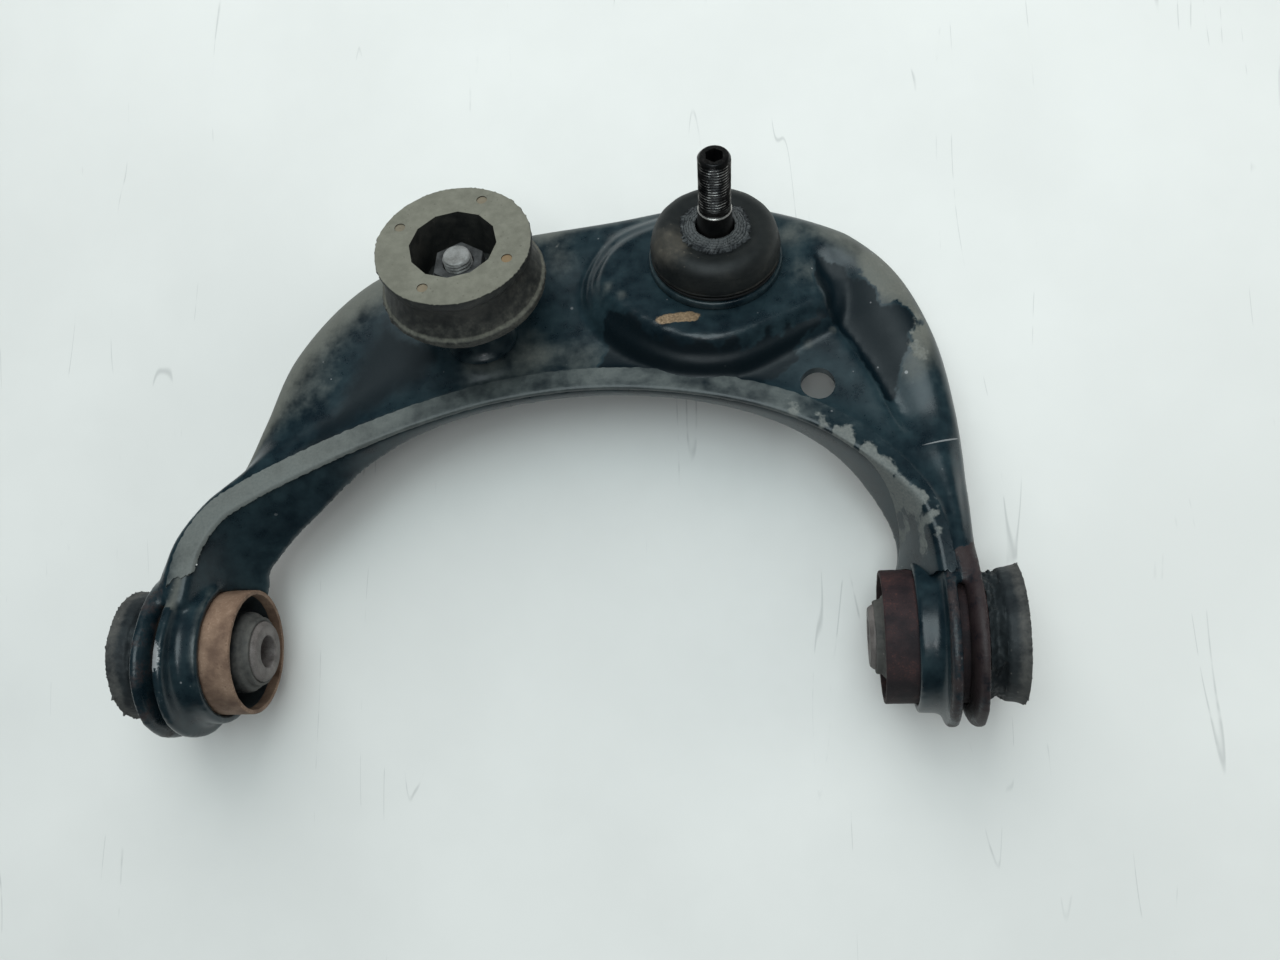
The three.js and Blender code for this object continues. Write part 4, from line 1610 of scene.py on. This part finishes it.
        bmesh.ops.subdivide_edges(
            shape.bm, cuts=2, use_grid_fill=True,
            edges=[e for e in shape.bm.edges
                   if abs(e.verts[0].co.z - e.verts[1].co.z) > 0.8
                   and min(math.hypot(v.co.x, v.co.y) for v in e.verts) > 19.5],
        )
        shape.move(ragged)
        shape.roughen(0.14, 1.6, seed + 2)
        shape.mark("dust", lambda p: 0.62 * smooth(162, 166, p.z)
                   * smooth(22, 23.5, off_axis(p)))
        shape.mark("worn", lambda p: 0.0)
        self.shop.piece(
            f"bush_bulge_{self.side.label}", shape, place, rubber.build(), "arm", "bush_rubber"
        )


# ---- ball joint -------------------------------------------------------------------------------
@dataclass
class BallJoint:
    """The ball joint: pressed-in housing, cover, clamp ring, boot, torn lip and stud."""

    axes: Axes
    shop: Shop
    ball_radius: float = 11.5
    thread_radius: float = 6.0
    thread_pitch: float = 1.25
    thread_depth: float = 0.72
    stud_top: float = 60.0
    hex_flats: float = 6.0
    boot_seam: float = 15.0

    def arc(self, radius: float, start: float, end: float, steps: int) -> list[tuple]:
        """Corners of an arc about the ball's centre, degrees from the stud."""
        angles = [math.radians(lerp(start, end, k / steps)) for k in range(steps + 1)]
        return [(radius * math.sin(a), radius * math.cos(a)) for a in angles]

    def build(
        self, paint: bpy.types.Material, boot: Rubber, lip: Rubber, steel: WorkedSteel,
        zinc: WorkedSteel,
    ) -> None:
        """Makes the ball joint's pieces.

        Args:
            paint: finish of the housing.
            boot: finish of the boot.
            lip: finish of the torn lip.
            steel: finish of the stud and ring.
            zinc: finish of the cover.
        """
        place = self.axes.joint
        housing = Shape().turned(
            [*self.arc(14.9, 58, 90, 16), (14.9, -16.3, 0.3), (17.9, -16.3, 0.3),
             (17.9, -19.6, 0.3), (18.6, -20.2, 0.3), (20.0, -20.2, 0.5), (20.7, -19.4, 0.5),
             (20.7, 8.3, 0.3), (25.3, 8.3, 0.5), (25.3, 10.6, 0.6), (24.6, 11.2, 0.6),
             (21.4, 11.2, 0.4), (21.4, 13.2, 0.3), (15.8, 13.2, 0.3)], 144,
        )
        housing.roughen(0.05, 3.0)
        housing.mark("dust", lambda p: 0.20).mark("mud", lambda p: 0.0)
        housing.mark("worn", lambda p: 0.10)
        housing.mark("rust", lambda p: 0.45 * smooth(-10, -18, p.z))
        self.shop.piece(
            "joint_body", housing, place, paint, "arm", "arm_paint", ["joint_housing"]
        )
        cover = Shape().turned(
            [(0, -18.2), (0, -16.7), (17.6, -16.7, 0.2), (17.6, -18.8, 0.4), (14.4, -18.8, 0.5),
             (12.6, -17.9, 0.8), (5.0, -18.2, 0.5)], 128, True,
        )
        cover.roughen(0.05, 3.0, 2)
        cover.mark("dust", lambda p: 0.45).mark("worn", lambda p: 0.3)
        self.shop.piece(
            "joint_base_cover", cover, place, zinc.build(), "arm", "zinc_steel", ["joint_cover"]
        )
        ring = Shape().turned(
            [(22.2, 11.7, 0.3), (24.0, 11.6, 0.6), (24.5, 12.3, 0.6), (24.0, 13.0, 0.6),
             (22.2, 12.9, 0.3)], 144,
        )
        ring.mark("dust", lambda p: 0.95).mark("worn", lambda p: 0.0)
        self.shop.piece(
            "boot_wire_ring", ring, place, steel.build(), "arm", "stud_steel",
            ["boot_clamp_ring"],
        )
        self.build_boot(place, boot)
        self.build_lip(place, lip)
        self.build_stud(place, steel)

    def build_boot(self, place: Matrix, finish: Rubber) -> None:
        """The boot as a skirt and a crown, both baked into the row frame.

        Args:
            place: the ball joint's axes.
            finish: its finish.
        """
        scuff = place.inverted() @ self.axes.at((48.4, 120.6, 83.0))
        seam = self.boot_seam

        def dusty(p: Vector) -> float:
            """Dust on the boot."""
            near = smooth(15, 2, (p - scuff).length)
            return 0.16 + 0.55 * near + 0.25 * smooth(seam + 0.5, seam, p.z)

        def rubbed(p: Vector) -> float:
            """Rubbing on the boot's scuffed side."""
            streak = noise.noise(Vector((p.x * 0.9, p.y * 0.25, p.z * 0.25)))
            return (0.42 + 0.4 * streak) * smooth(12, 2, (p - scuff).length)

        skirt = Shape().turned(
            [(21.2, 13.5, 0.3), (24.0, 13.5, 0.5), (24.5, 14.6, 0.3), (24.1, seam, 0.2),
             (24.45, seam + 0.5, 0.2), (24.35, 17.0), (23.9, 19.2), (23.4, 21.0),
             (22.4, 21.0), (22.8, 18.6), (22.9, 15.2)], 160,
        )
        skirt.roughen(0.10, 6.0, 4)
        skirt.mark("dust", dusty).mark("worn", rubbed)
        self.shop.piece(
            "boot_skirt", skirt, place, finish.build(), "arm", "boot_rubber", ["dust_boot"],
            math.radians(60), ("arm", "liner", 14.0, 20.6),
        )
        crown = Shape().turned(
            [(23.4, 21.0), (22.9, 22.5), (21.8, 24.0), (20.3, 25.1), (18.6, 25.75),
             (16.9, 25.9), (15.4, 25.6), (14.0, 24.9), (12.0, 24.5), (8.7, 24.4), (8.7, 23.5),
             (14.0, 23.6), (15.4, 24.1), (16.9, 24.5), (18.6, 24.4), (20.2, 23.7),
             (21.5, 22.5), (22.4, 21.0)], 160,
        )
        crown.roughen(0.10, 6.0, 4)
        crown.mark("dust", dusty).mark("worn", rubbed)
        self.shop.piece(
            "boot_crown", crown, place, finish.build(), "liner", "boot_rubber", (),
            math.radians(60), ("liner", "boot_neck", 21.0, 23.2),
        )

    def build_lip(self, place: Matrix, finish: Rubber) -> None:
        """The torn, flattened lip: ragged rings of hardened grease and rubber on the boot.

        Args:
            place: the ball joint's axes.
            finish: its finish.
        """
        outline = [(7.5, 24.2), (12.2, 24.2), (12.8, 24.5), (13.0, 24.9), (12.6, 25.3)]
        rings = 5
        for k in range(rings):
            reach = 12.4 - 0.95 * k
            height = 25.6 + 0.32 * k
            outline += [(reach, height), (reach - 0.3, height + 0.35),
                        (reach - 0.6, height + 0.3), (reach - 0.8, height - 0.15)]
        outline += [(7.9, 27.3), (7.5, 27.0)]
        shape = Shape().turned(outline, 300)

        def torn(p: Vector) -> Vector:
            """Ruffles the lip and tears its edge."""
            reach = off_axis(p)
            angle = math.atan2(p.y, p.x)
            ring = Vector((math.cos(angle), math.sin(angle), 0))
            wander = noise.fractal(ring * 4 + Vector((0, 0, reach * 0.25)), 1.0, 2.0, 3)
            ruffle = noise.fractal(ring * 16 + Vector((reach * 0.7, 0, 2)), 1.0, 2.0, 3)
            edge = smooth(11.4, 13.2, reach)
            reach += 0.35 * wander + edge * (1.4 * ruffle + 0.6 * wander)
            height = p.z + (0.8 * ruffle + 0.3 * wander) * smooth(7.6, 8.6, reach)
            return Vector((ring.x * reach, ring.y * reach, min(height, 27.9)))

        shape.move(torn)
        shape.mark("dust", lambda p: 0.35 + 0.5 * smooth(25.5, 26.6, p.z))
        shape.mark("worn", lambda p: 0.15)
        self.shop.piece(
            "boot_torn_lip", shape, place, finish.build(), "boot_neck", "lip_rubber",
            ["boot_lip_ring"], math.radians(50),
        )

    def build_stud(self, place: Matrix, finish: WorkedSteel) -> None:
        """The ball, its neck, the taper, the threaded end and the hexagon socket.

        Args:
            place: the ball joint's axes.
            finish: its finish.
        """
        top, radius = self.stud_top, self.thread_radius
        low, high = 37.4, top - 1.3
        rings = int((high - low) / (self.thread_pitch / 8))
        thread = [(radius, lerp(low, high, k / rings)) for k in range(rings + 1)]
        outline = [
            (0, -self.ball_radius * math.cos(math.radians(20))),
            *self.arc(self.ball_radius, 160, 31, 30), (6.0, 11.5, 0.8), (6.0, 14.5, 1.0),
            (7.1, 19.5, 1.5), (6.15, 34.6, 0.2), (6.35, 35.0, 0.15), (5.35, 35.7, 0.2),
            (5.3, 36.7, 0.2), *thread, (radius - 1.0, top - 0.1, 0.25), (0, top),
        ]
        shape = Shape().turned(outline, 96, False)
        pitch, depth = self.thread_pitch, self.thread_depth

        def threaded(p: Vector) -> Vector:
            """Cuts the thread's groove."""
            reach = off_axis(p)
            if not low - 0.05 < p.z < high + 0.05 or reach < radius - 0.05:
                return p
            phase = ((p.z / pitch) - math.atan2(p.y, p.x) / math.tau) % 1.0
            groove = abs(phase - 0.5) * 2
            worn = 0.06 * noise.noise(Vector((p.x, p.y, p.z * 0.6)) * 0.9)
            fade = smooth(low, low + 1.2, p.z) * smooth(high + 0.3, high - 0.5, p.z)
            near = reach - (depth * min(groove * 1.15, 1.0) + worn) * fade
            return Vector((p.x * near / reach, p.y * near / reach, p.z))

        shape.move(threaded)
        socket = Shape()
        corner = self.hex_flats / math.sqrt(3)
        bmesh.ops.create_cone(
            socket.bm, cap_ends=True, segments=6, depth=8.5, radius1=corner, radius2=corner,
            matrix=Matrix.Translation((0, 0, top - 2.25)),
        )
        shape.bm = cut(shape.bm, socket.bm)

        def rubbed(p: Vector) -> float:
            """Brightness of the stud's shoulder, thread crests and end; the crests' brightness is
            partly a painted highlight that brings out the thread.
            """
            reach = off_axis(p)
            shoulder = smooth(0.7, 0.1, abs(p.z - 35.0))
            # Thread crests painted bright: partly rubbing, partly a painted highlight that shows
            # the thread against its darker grooves.
            crest = smooth(radius - 0.5, radius - 0.05, reach) * smooth(low, low + 1, p.z)
            wear = 0.4 * noise.noise(Vector((p.x, p.y, p.z)) * 0.35) + 0.60
            return 1.0 * shoulder + crest * wear + 0.45 * smooth(top - 0.6, top, p.z)

        shape.mark("worn", rubbed)
        shape.mark("dust", lambda p: 0.30 * smooth(36, 44, p.z) - 0.1)
        self.shop.piece(
            "joint_stud", shape, place, finish.build(), "stud", "stud_steel", ["ball_stud"],
            math.radians(30),
        )


# ---- bump stop --------------------------------------------------------------------------------
@dataclass
class BumpStop:
    """The bump stop: spigot, seat plate, rubber, and the washer, nut and stud inside it."""

    axes: Axes
    shop: Shop
    top: float = 53.5
    radius: float = 28.1
    hollow_radius: float = 16.0
    floor: float = 33.7
    nut_flats: float = 17.0
    stud_radius: float = 5.3
    thread_pitch: float = 1.5
    thread_depth: float = 0.8
    dimples: tuple[tuple[float, float], ...] = (
        (20.2, -7.7), (8.2, 21.2), (-20.4, 9.0), (-8.2, -20.0),
    )

    def build(
        self, paint: bpy.types.Material, rubber: bpy.types.Material, zinc: WorkedSteel
    ) -> None:
        """Makes the bump stop's pieces.

        Args:
            paint: finish of the spigot and seat plate.
            rubber: finish of the rubber.
            zinc: finish of the stud; the washer and nut get a darker zinc as painted shade for
                the hollow.
        """
        place = self.axes.bump
        spigot = Shape().turned(
            [(6.4, 1.9), (13.8, 1.9, 0.3), (13.2, 3.0, 0.8), (10.8, 4.6, 1.2), (9.3, 7.4, 2.0),
             (8.8, 12), (8.8, 28.0, 0.3), (6.4, 28.0)], 128,
        )
        spigot.roughen(0.06, 4.0)
        seat = Shape().turned(
            [(6.4, 28.3), (23.4, 28.3, 0.5), (24.0, 29.0, 0.4), (23.6, 30.0, 0.3), (6.4, 30.0)],
            144,
        )
        for name, shape, node in (
            ("bump_post", spigot, "bump_spigot"), ("bump_plate", seat, "bump_seat")
        ):
            shape.mark("dust", lambda p: 0.22).mark("mud", lambda p: 0.0)
            shape.mark("worn", lambda p: 0.0).mark("rust", lambda p: 0.1)
            self.shop.piece(name, shape, place, paint, "arm", "arm_paint", [node])
        self.build_rubber(place, rubber)
        # The washer and nut get a darker zinc: painted shade for the shadow inside the rubber's
        # hollow.
        shade_darkened = WorkedSteel("shade_darkened_zinc", (0.030, 0.031, 0.031), (0.085, 0.088, 0.088),
                           (0.26, 0.26, 0.25), 0.35, 0.55)
        self.build_hardware(place, zinc.build(), shade_darkened.build())

    def build_rubber(self, place: Matrix, material: bpy.types.Material) -> None:
        """The rubber ring with its waist, flange, twelve-sided hollow and round dimples.

        Args:
            place: the bump stop's axes.
            material: its finish.
        """
        z = self.top
        shape = Shape().turned(
            [(6.8, 30.3), (28.4, 30.3, 0.6), (29.3, 31.6, 0.4), (29.9, 32.6, 0.3),
             (30.2, 33.4, 0.2), (30.2, 35.2, 0.5), (29.4, 35.9, 0.3), (29.0, 36.6, 0.3),
             (28.2, 39.0, 1.0), (26.4, 43.4, 1.5), (25.8, 46.0, 1.5), (26.6, 48.4, 1.2),
             (28.0, 50.0, 0.5), (28.1, 52.6), (28.0, z, 0.35), (22, z), (6.8, z)], 240,
        )
        hollow = Shape()
        bmesh.ops.create_cone(
            hollow.bm, cap_ends=True, segments=12, depth=30,
            radius1=self.hollow_radius - 0.5, radius2=self.hollow_radius,
            matrix=Matrix.Translation((0, 0, self.floor + 15)),
        )
        for x, y in self.dimples:
            pit = Shape().turned([(0, z - 0.4), (1.9, z - 0.4), (2.1, z + 1), (0, z + 1)],
                                 40, False)
            bmesh.ops.translate(pit.bm, verts=pit.bm.verts, vec=(x, y, 0))
            hollow.join(pit.bm)
        shape.bm = cut(shape.bm, hollow.bm)
        bmesh.ops.triangulate(
            shape.bm, faces=[f for f in shape.bm.faces if len(f.verts) > 4]
        )

        def flashed(p: Vector) -> Vector:
            """Frays the rims and waves the flank."""
            reach = off_axis(p)
            if reach < 25:
                return p
            ring = Vector((p.x, p.y, 0)) / reach
            rim = smooth(50.5, 52.5, p.z) + smooth(32.2, 33.2, p.z) * smooth(36.4, 35.2, p.z)
            fringe = max(noise.noise(ring * 42 + Vector((0, 0, p.z * 0.3))), 0.0)
            clumps = max(noise.noise(ring * 6 + Vector((2, 0, p.z * 0.1))) - 0.1, 0.0)
            wave = noise.noise(ring * 2.2 + Vector((5, 0, p.z * 0.08)))
            reach += 0.30 * wave + rim * (0.55 * fringe + 1.5 * fringe * clumps)
            lumps = noise.noise(ring * 13 + Vector((0, 3, p.z * 0.35)))
            reach += 0.22 * lumps * smooth(51.0, 49.0, p.z)
            return Vector((ring.x * reach, ring.y * reach, p.z))

        shape.move(flashed)

        def dusty(p: Vector) -> float:
            """Dust on the ring's flank."""
            reach = off_axis(p)
            if reach < self.hollow_radius + 0.4:
                return 0.02
            ledge = smooth(0.9, 0.2, abs(p.z - 36.0))
            return 0.12 + 0.16 * smooth(45, 36, p.z) + 0.24 * ledge

        def pitted(p: Vector) -> float:
            """Stain in the round dimples."""
            shares = (1.0, 0.4, 0.3, 0.5)
            return max(
                share * smooth(2.4, 2.0, math.hypot(p.x - x, p.y - y))
                * smooth(z - 0.1, z - 0.3, p.z)
                for share, (x, y) in zip(shares, self.dimples)
            ) if p.z > z - 0.5 else 0.0

        shape.mark("dust", dusty).mark("pit", pitted)
        shape.mark("face", lambda p: 1.0 if p.z > z - 0.7 else 0.0)
        self.shop.piece(
            "bump_ring", shape, place, material, "arm", "bump_rubber", ["bump_rubber"],
            math.radians(34),
        )

    def build_hardware(
        self, place: Matrix, material: bpy.types.Material, shade_darkened: bpy.types.Material
    ) -> None:
        """The washer, the hexagon nut and the threaded stud in the hollow.

        Args:
            place: the bump stop's axes.
            material: finish of the stud.
            shade_darkened: finish of the washer and nut, a darker zinc that paints the shade
                inside the hollow.
        """
        washer = Shape().turned(
            [(6.4, 34.0, 0.2), (12.0, 34.0, 0.3), (12.0, 36.1, 0.4), (6.4, 36.1, 0.3)], 96
        )
        nut = Shape()
        corner = self.nut_flats / math.sqrt(3)
        bmesh.ops.create_cone(
            nut.bm, cap_ends=True, segments=6, depth=8, radius1=corner, radius2=corner,
            matrix=Matrix.Translation((0, 0, 40.4)),
        )
        bore = Shape().turned([(0, 35), (5.6, 35), (5.6, 46), (0, 46)], 64, False)
        nut.bm = cut(nut.bm, bore.bm)
        bmesh.ops.bevel(
            nut.bm, geom=list(nut.bm.edges), offset=0.35, segments=2, profile=0.5,
            affect="EDGES", material=-1,
        )
        radius, pitch = self.stud_radius, self.thread_pitch
        low, high = 30.0, self.top - 6.4
        rings = int((high - low) / (pitch / 8))
        outline = [
            (0, -6.5), (4.6, -6.5, 0.2), (radius, -5.8, 0.2), (radius, low - 0.5),
            *[(radius, lerp(low, high, k / rings)) for k in range(rings + 1)],
            (4.5, self.top - 5.5, 0.5), (0, self.top - 5.25),
        ]
        stud = Shape().turned(outline, 96, False)

        def threaded(p: Vector) -> Vector:
            """Cuts the thread's groove."""
            reach = off_axis(p)
            if not low < p.z < high + 0.05 or reach < radius - 0.05:
                return p
            phase = ((p.z / pitch) - math.atan2(p.y, p.x) / math.tau) % 1.0
            groove = self.thread_depth * min(abs(phase - 0.5) * 2.2, 1.0)
            near = reach - groove * smooth(low, low + 1, p.z)
            return Vector((p.x * near / reach, p.y * near / reach, p.z))

        stud.move(threaded)
        stud.roughen(0.10, 1.4, 6, lambda p: 1.0 if p.z > self.top - 6 else 0.0)
        for name, shape, node, finish in (
            ("bump_flat_washer", washer, "bump_washer", shade_darkened),
            ("bump_hex_nut", nut, "bump_nut", shade_darkened),
            ("bump_bolt", stud, "bump_stud", material),
        ):
            shape.mark("dust", lambda p: 0.30).mark("worn", lambda p: 0.30)
            self.shop.piece(
                name, shape, place, finish, "arm", "zinc_steel", [node], math.radians(30)
            )


@dataclass(frozen=True)
class BumpRubber:
    """Grey rubber, powdery and speckled on top, darker and stained below."""

    face: Colour = (0.105, 0.104, 0.082)
    face_pale: Colour = (0.145, 0.144, 0.115)
    flank: Colour = (0.009, 0.0105, 0.010)
    flank_pale: Colour = (0.030, 0.030, 0.026)
    ochre: Colour = (0.175, 0.105, 0.045)

    def build(self, axis: Vector) -> bpy.types.Material:
        """Makes the material, which reads the layers dust, face and pit.

        Args:
            axis: the bump stop's axis in the row frame.

        Returns:
            The material.
        """
        tree = Tree("bump_rubber")
        cloud = tree.grain(12, 6)
        patch = tree.grain(3, 6, shift=25)
        fine = tree.grain(0.7, 5, shift=50)
        side = tree.mix((cloud * 0.6 + patch * 0.5).ease(0.40, 0.72), self.flank,
                        self.flank_pale)
        powder = tree.mix((cloud * 0.5 + patch * 0.5).ease(0.34, 0.70), self.face,
                          self.face_pale)
        specks = tree.spots(1.9, 0.16, 0.28) + tree.spots(3.6, 0.12, 0.30, 12)
        powder = tree.mix(specks * 0.5, powder, (0.075, 0.070, 0.055))
        face = tree.facing(axis).ease(0.45, 0.8) * tree.layer("face")
        veil = (tree.layer("dust") + (patch - 0.5) * 0.5 + (fine - 0.5) * 0.3).ease(0.12, 0.80)
        veil = veil.larger(face)
        colour = tree.mix(veil, side, powder)
        colour = tree.mix(tree.layer("pit") * 0.7, colour, self.ochre)
        chalk = (patch * fine).ease(0.36, 0.46) * cloud.ease(0.5, 0.62)
        colour = tree.mix(chalk * 0.45 * (1 - veil), colour, (0.30, 0.27, 0.24))
        rough = 0.62 + 0.3 * veil + 0.1 * (fine - 0.5)
        height = fine * 0.5 + patch * 0.6 - specks * 0.25
        return tree.close(colour, rough, 0.0, tree.relief(height, 0.22, 0.8))


# ---- stage ------------------------------------------------------------------------------------
@dataclass(frozen=True)
class Stage:
    """Floor, light and camera."""

    camera_at: Colour = (0.0930, -0.0584, 0.4677)
    camera_right: Colour = (0.9898, -0.0275, -0.1400)
    camera_back: Colour = (0.1357, -0.1119, 0.9844)
    lens: float = 32.83
    floor_half: float = 3.0
    sky: Colour = (0.88, 0.95, 1.0)
    sky_strength: float = 0.40
    aim_height: float = 0.03

    def build(self) -> None:
        """Makes the floor, the light and the camera."""
        mesh = bpy.data.meshes.new("floor")
        ground = bmesh.new()
        bmesh.ops.create_grid(ground, x_segments=8, y_segments=8, size=self.floor_half)
        ground.to_mesh(mesh)
        ground.free()
        mesh.materials.append(Floor().build())
        floor = bpy.data.objects.new("floor", mesh)
        bpy.context.scene.collection.objects.link(floor)

        world = bpy.data.worlds.new("studio")
        world.use_nodes = True
        backdrop = world.node_tree.nodes["Background"]
        backdrop.inputs["Color"].default_value = (*self.sky, 1.0)
        backdrop.inputs["Strength"].default_value = self.sky_strength
        world.cycles_visibility.glossy = False
        bpy.context.scene.world = world
        self.lamp("window", (-0.10, 1.25, 0.95), 1.5, 21.0, (0.98, 0.99, 1.0), False)
        self.lamp("fill", (1.15, 0.10, 0.50), 0.7, 3.4, (1.0, 0.98, 0.95), False)
        self.lamp("ceiling", (0.02, 0.30, 1.50), 1.0, 11.0, (0.84, 0.97, 1.0), True)
        self.lamp("glint", (0.05, -0.34, 1.50), 0.25, 1.7, (0.94, 0.98, 1.0), True)

        back = Vector(self.camera_back).normalized()
        right = Vector(self.camera_right)
        right = (right - back * right.dot(back)).normalized()
        turn = Matrix((right, back.cross(right), back)).transposed().to_4x4()
        data = bpy.data.cameras.new("camera")
        data.lens = self.lens
        data.sensor_width = 36.0
        data.clip_start = 0.01
        camera = bpy.data.objects.new("camera", data)
        camera.matrix_world = Matrix.Translation(self.camera_at) @ turn
        bpy.context.scene.collection.objects.link(camera)
        bpy.context.scene.camera = camera
        bpy.context.scene.view_settings.view_transform = "Standard"

    def lamp(
        self, name: str, place: Colour, size: float, power: float, colour: Colour,
        mirrored: bool,
    ) -> None:
        """Adds a square lamp aimed at the middle of the arm.

        Args:
            name: the lamp's name.
            place: where it hangs.
            size: its side.
            power: its power in watts.
            colour: its colour.
            mirrored: whether glossy surfaces show it.
        """
        data = bpy.data.lights.new(name, "AREA")
        data.size = size
        data.energy = power
        data.color = colour
        lamp = bpy.data.objects.new(name, data)
        lamp.visible_glossy = mirrored
        aim = Vector(place) - Vector((0, 0, self.aim_height))
        lamp.matrix_world = aimed(place, aim)
        bpy.context.scene.collection.objects.link(lamp)


def plain(box: Sequence[Vector]) -> list[list[float]]:
    """A box as plain lists of numbers."""
    return [[float(value) for value in corner] for corner in box]


def main() -> None:
    """Builds the sub-assemblies in order."""
    logging.basicConfig(level=logging.INFO, format="%(name)s: %(message)s")
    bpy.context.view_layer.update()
    axes = Axes(frame["joints"])
    shop = Shop(axes)
    paint = ArmPaint().build()
    pressing = Pressing(axes, shop)
    pressing.build(paint)
    pressing.build_strip(ArmPaint(film=(0.132, 0.142, 0.130)).build("strip_paint"))

    black = Rubber("bush_rubber", (0.0050, 0.0075, 0.0095), (0.015, 0.020, 0.022),
                   (0.090, 0.087, 0.078), 0.28)
    sleeves = {
        Side.LEFT: RustySteel("sleeve_tan", (0.100, 0.060, 0.040), (0.200, 0.130, 0.088),
                              (0.300, 0.215, 0.155)),
        Side.RIGHT: RustySteel("sleeve_red", (0.014, 0.010, 0.012), (0.032, 0.018, 0.019),
                               (0.092, 0.038, 0.031)),
    }
    core = WorkedSteel("core_steel", (0.080, 0.070, 0.064), (0.200, 0.182, 0.172),
                       (0.330, 0.310, 0.290), 0.35, 0.55)
    for side in Side:
        Bush(axes, shop, side).build(sleeves[side], core, black)

    boot = Rubber("boot_rubber", (0.0050, 0.0065, 0.0068), (0.012, 0.014, 0.0135),
                  (0.058, 0.052, 0.040), 0.28, 0.5, 0.10, 0.06)
    lip = Rubber("lip_rubber", (0.010, 0.012, 0.014), (0.032, 0.037, 0.040),
                 (0.088, 0.094, 0.094), 0.34, 0.6, 0.45)
    steel = WorkedSteel("stud_steel", (0.0050, 0.0055, 0.0060), (0.020, 0.019, 0.0185),
                        (0.44, 0.425, 0.40), 0.60, 0.34)
    zinc = WorkedSteel("zinc_steel", (0.140, 0.140, 0.130), (0.290, 0.295, 0.285),
                       (0.480, 0.480, 0.465), 0.35, 0.50)
    BallJoint(axes, shop).build(paint, boot, lip, steel, zinc)
    bump_axis = axes.towards(axes.bump, (0, 0, 1))
    BumpStop(axes, shop).build(paint, BumpRubber().build(bump_axis), zinc)

    hidden = Rubber("liner_polymer", (0.60, 0.56, 0.46), (0.70, 0.66, 0.56),
                    (0.45, 0.40, 0.30), 0.2)
    for node, finish in (("bearing_shell", hidden), ("pressure_disc", steel)):
        slots = frame["nodes"][node].data.materials
        slots.clear()
        slots.append(finish.build())

    Stage().build()


if __name__ == "__main__":
    main()
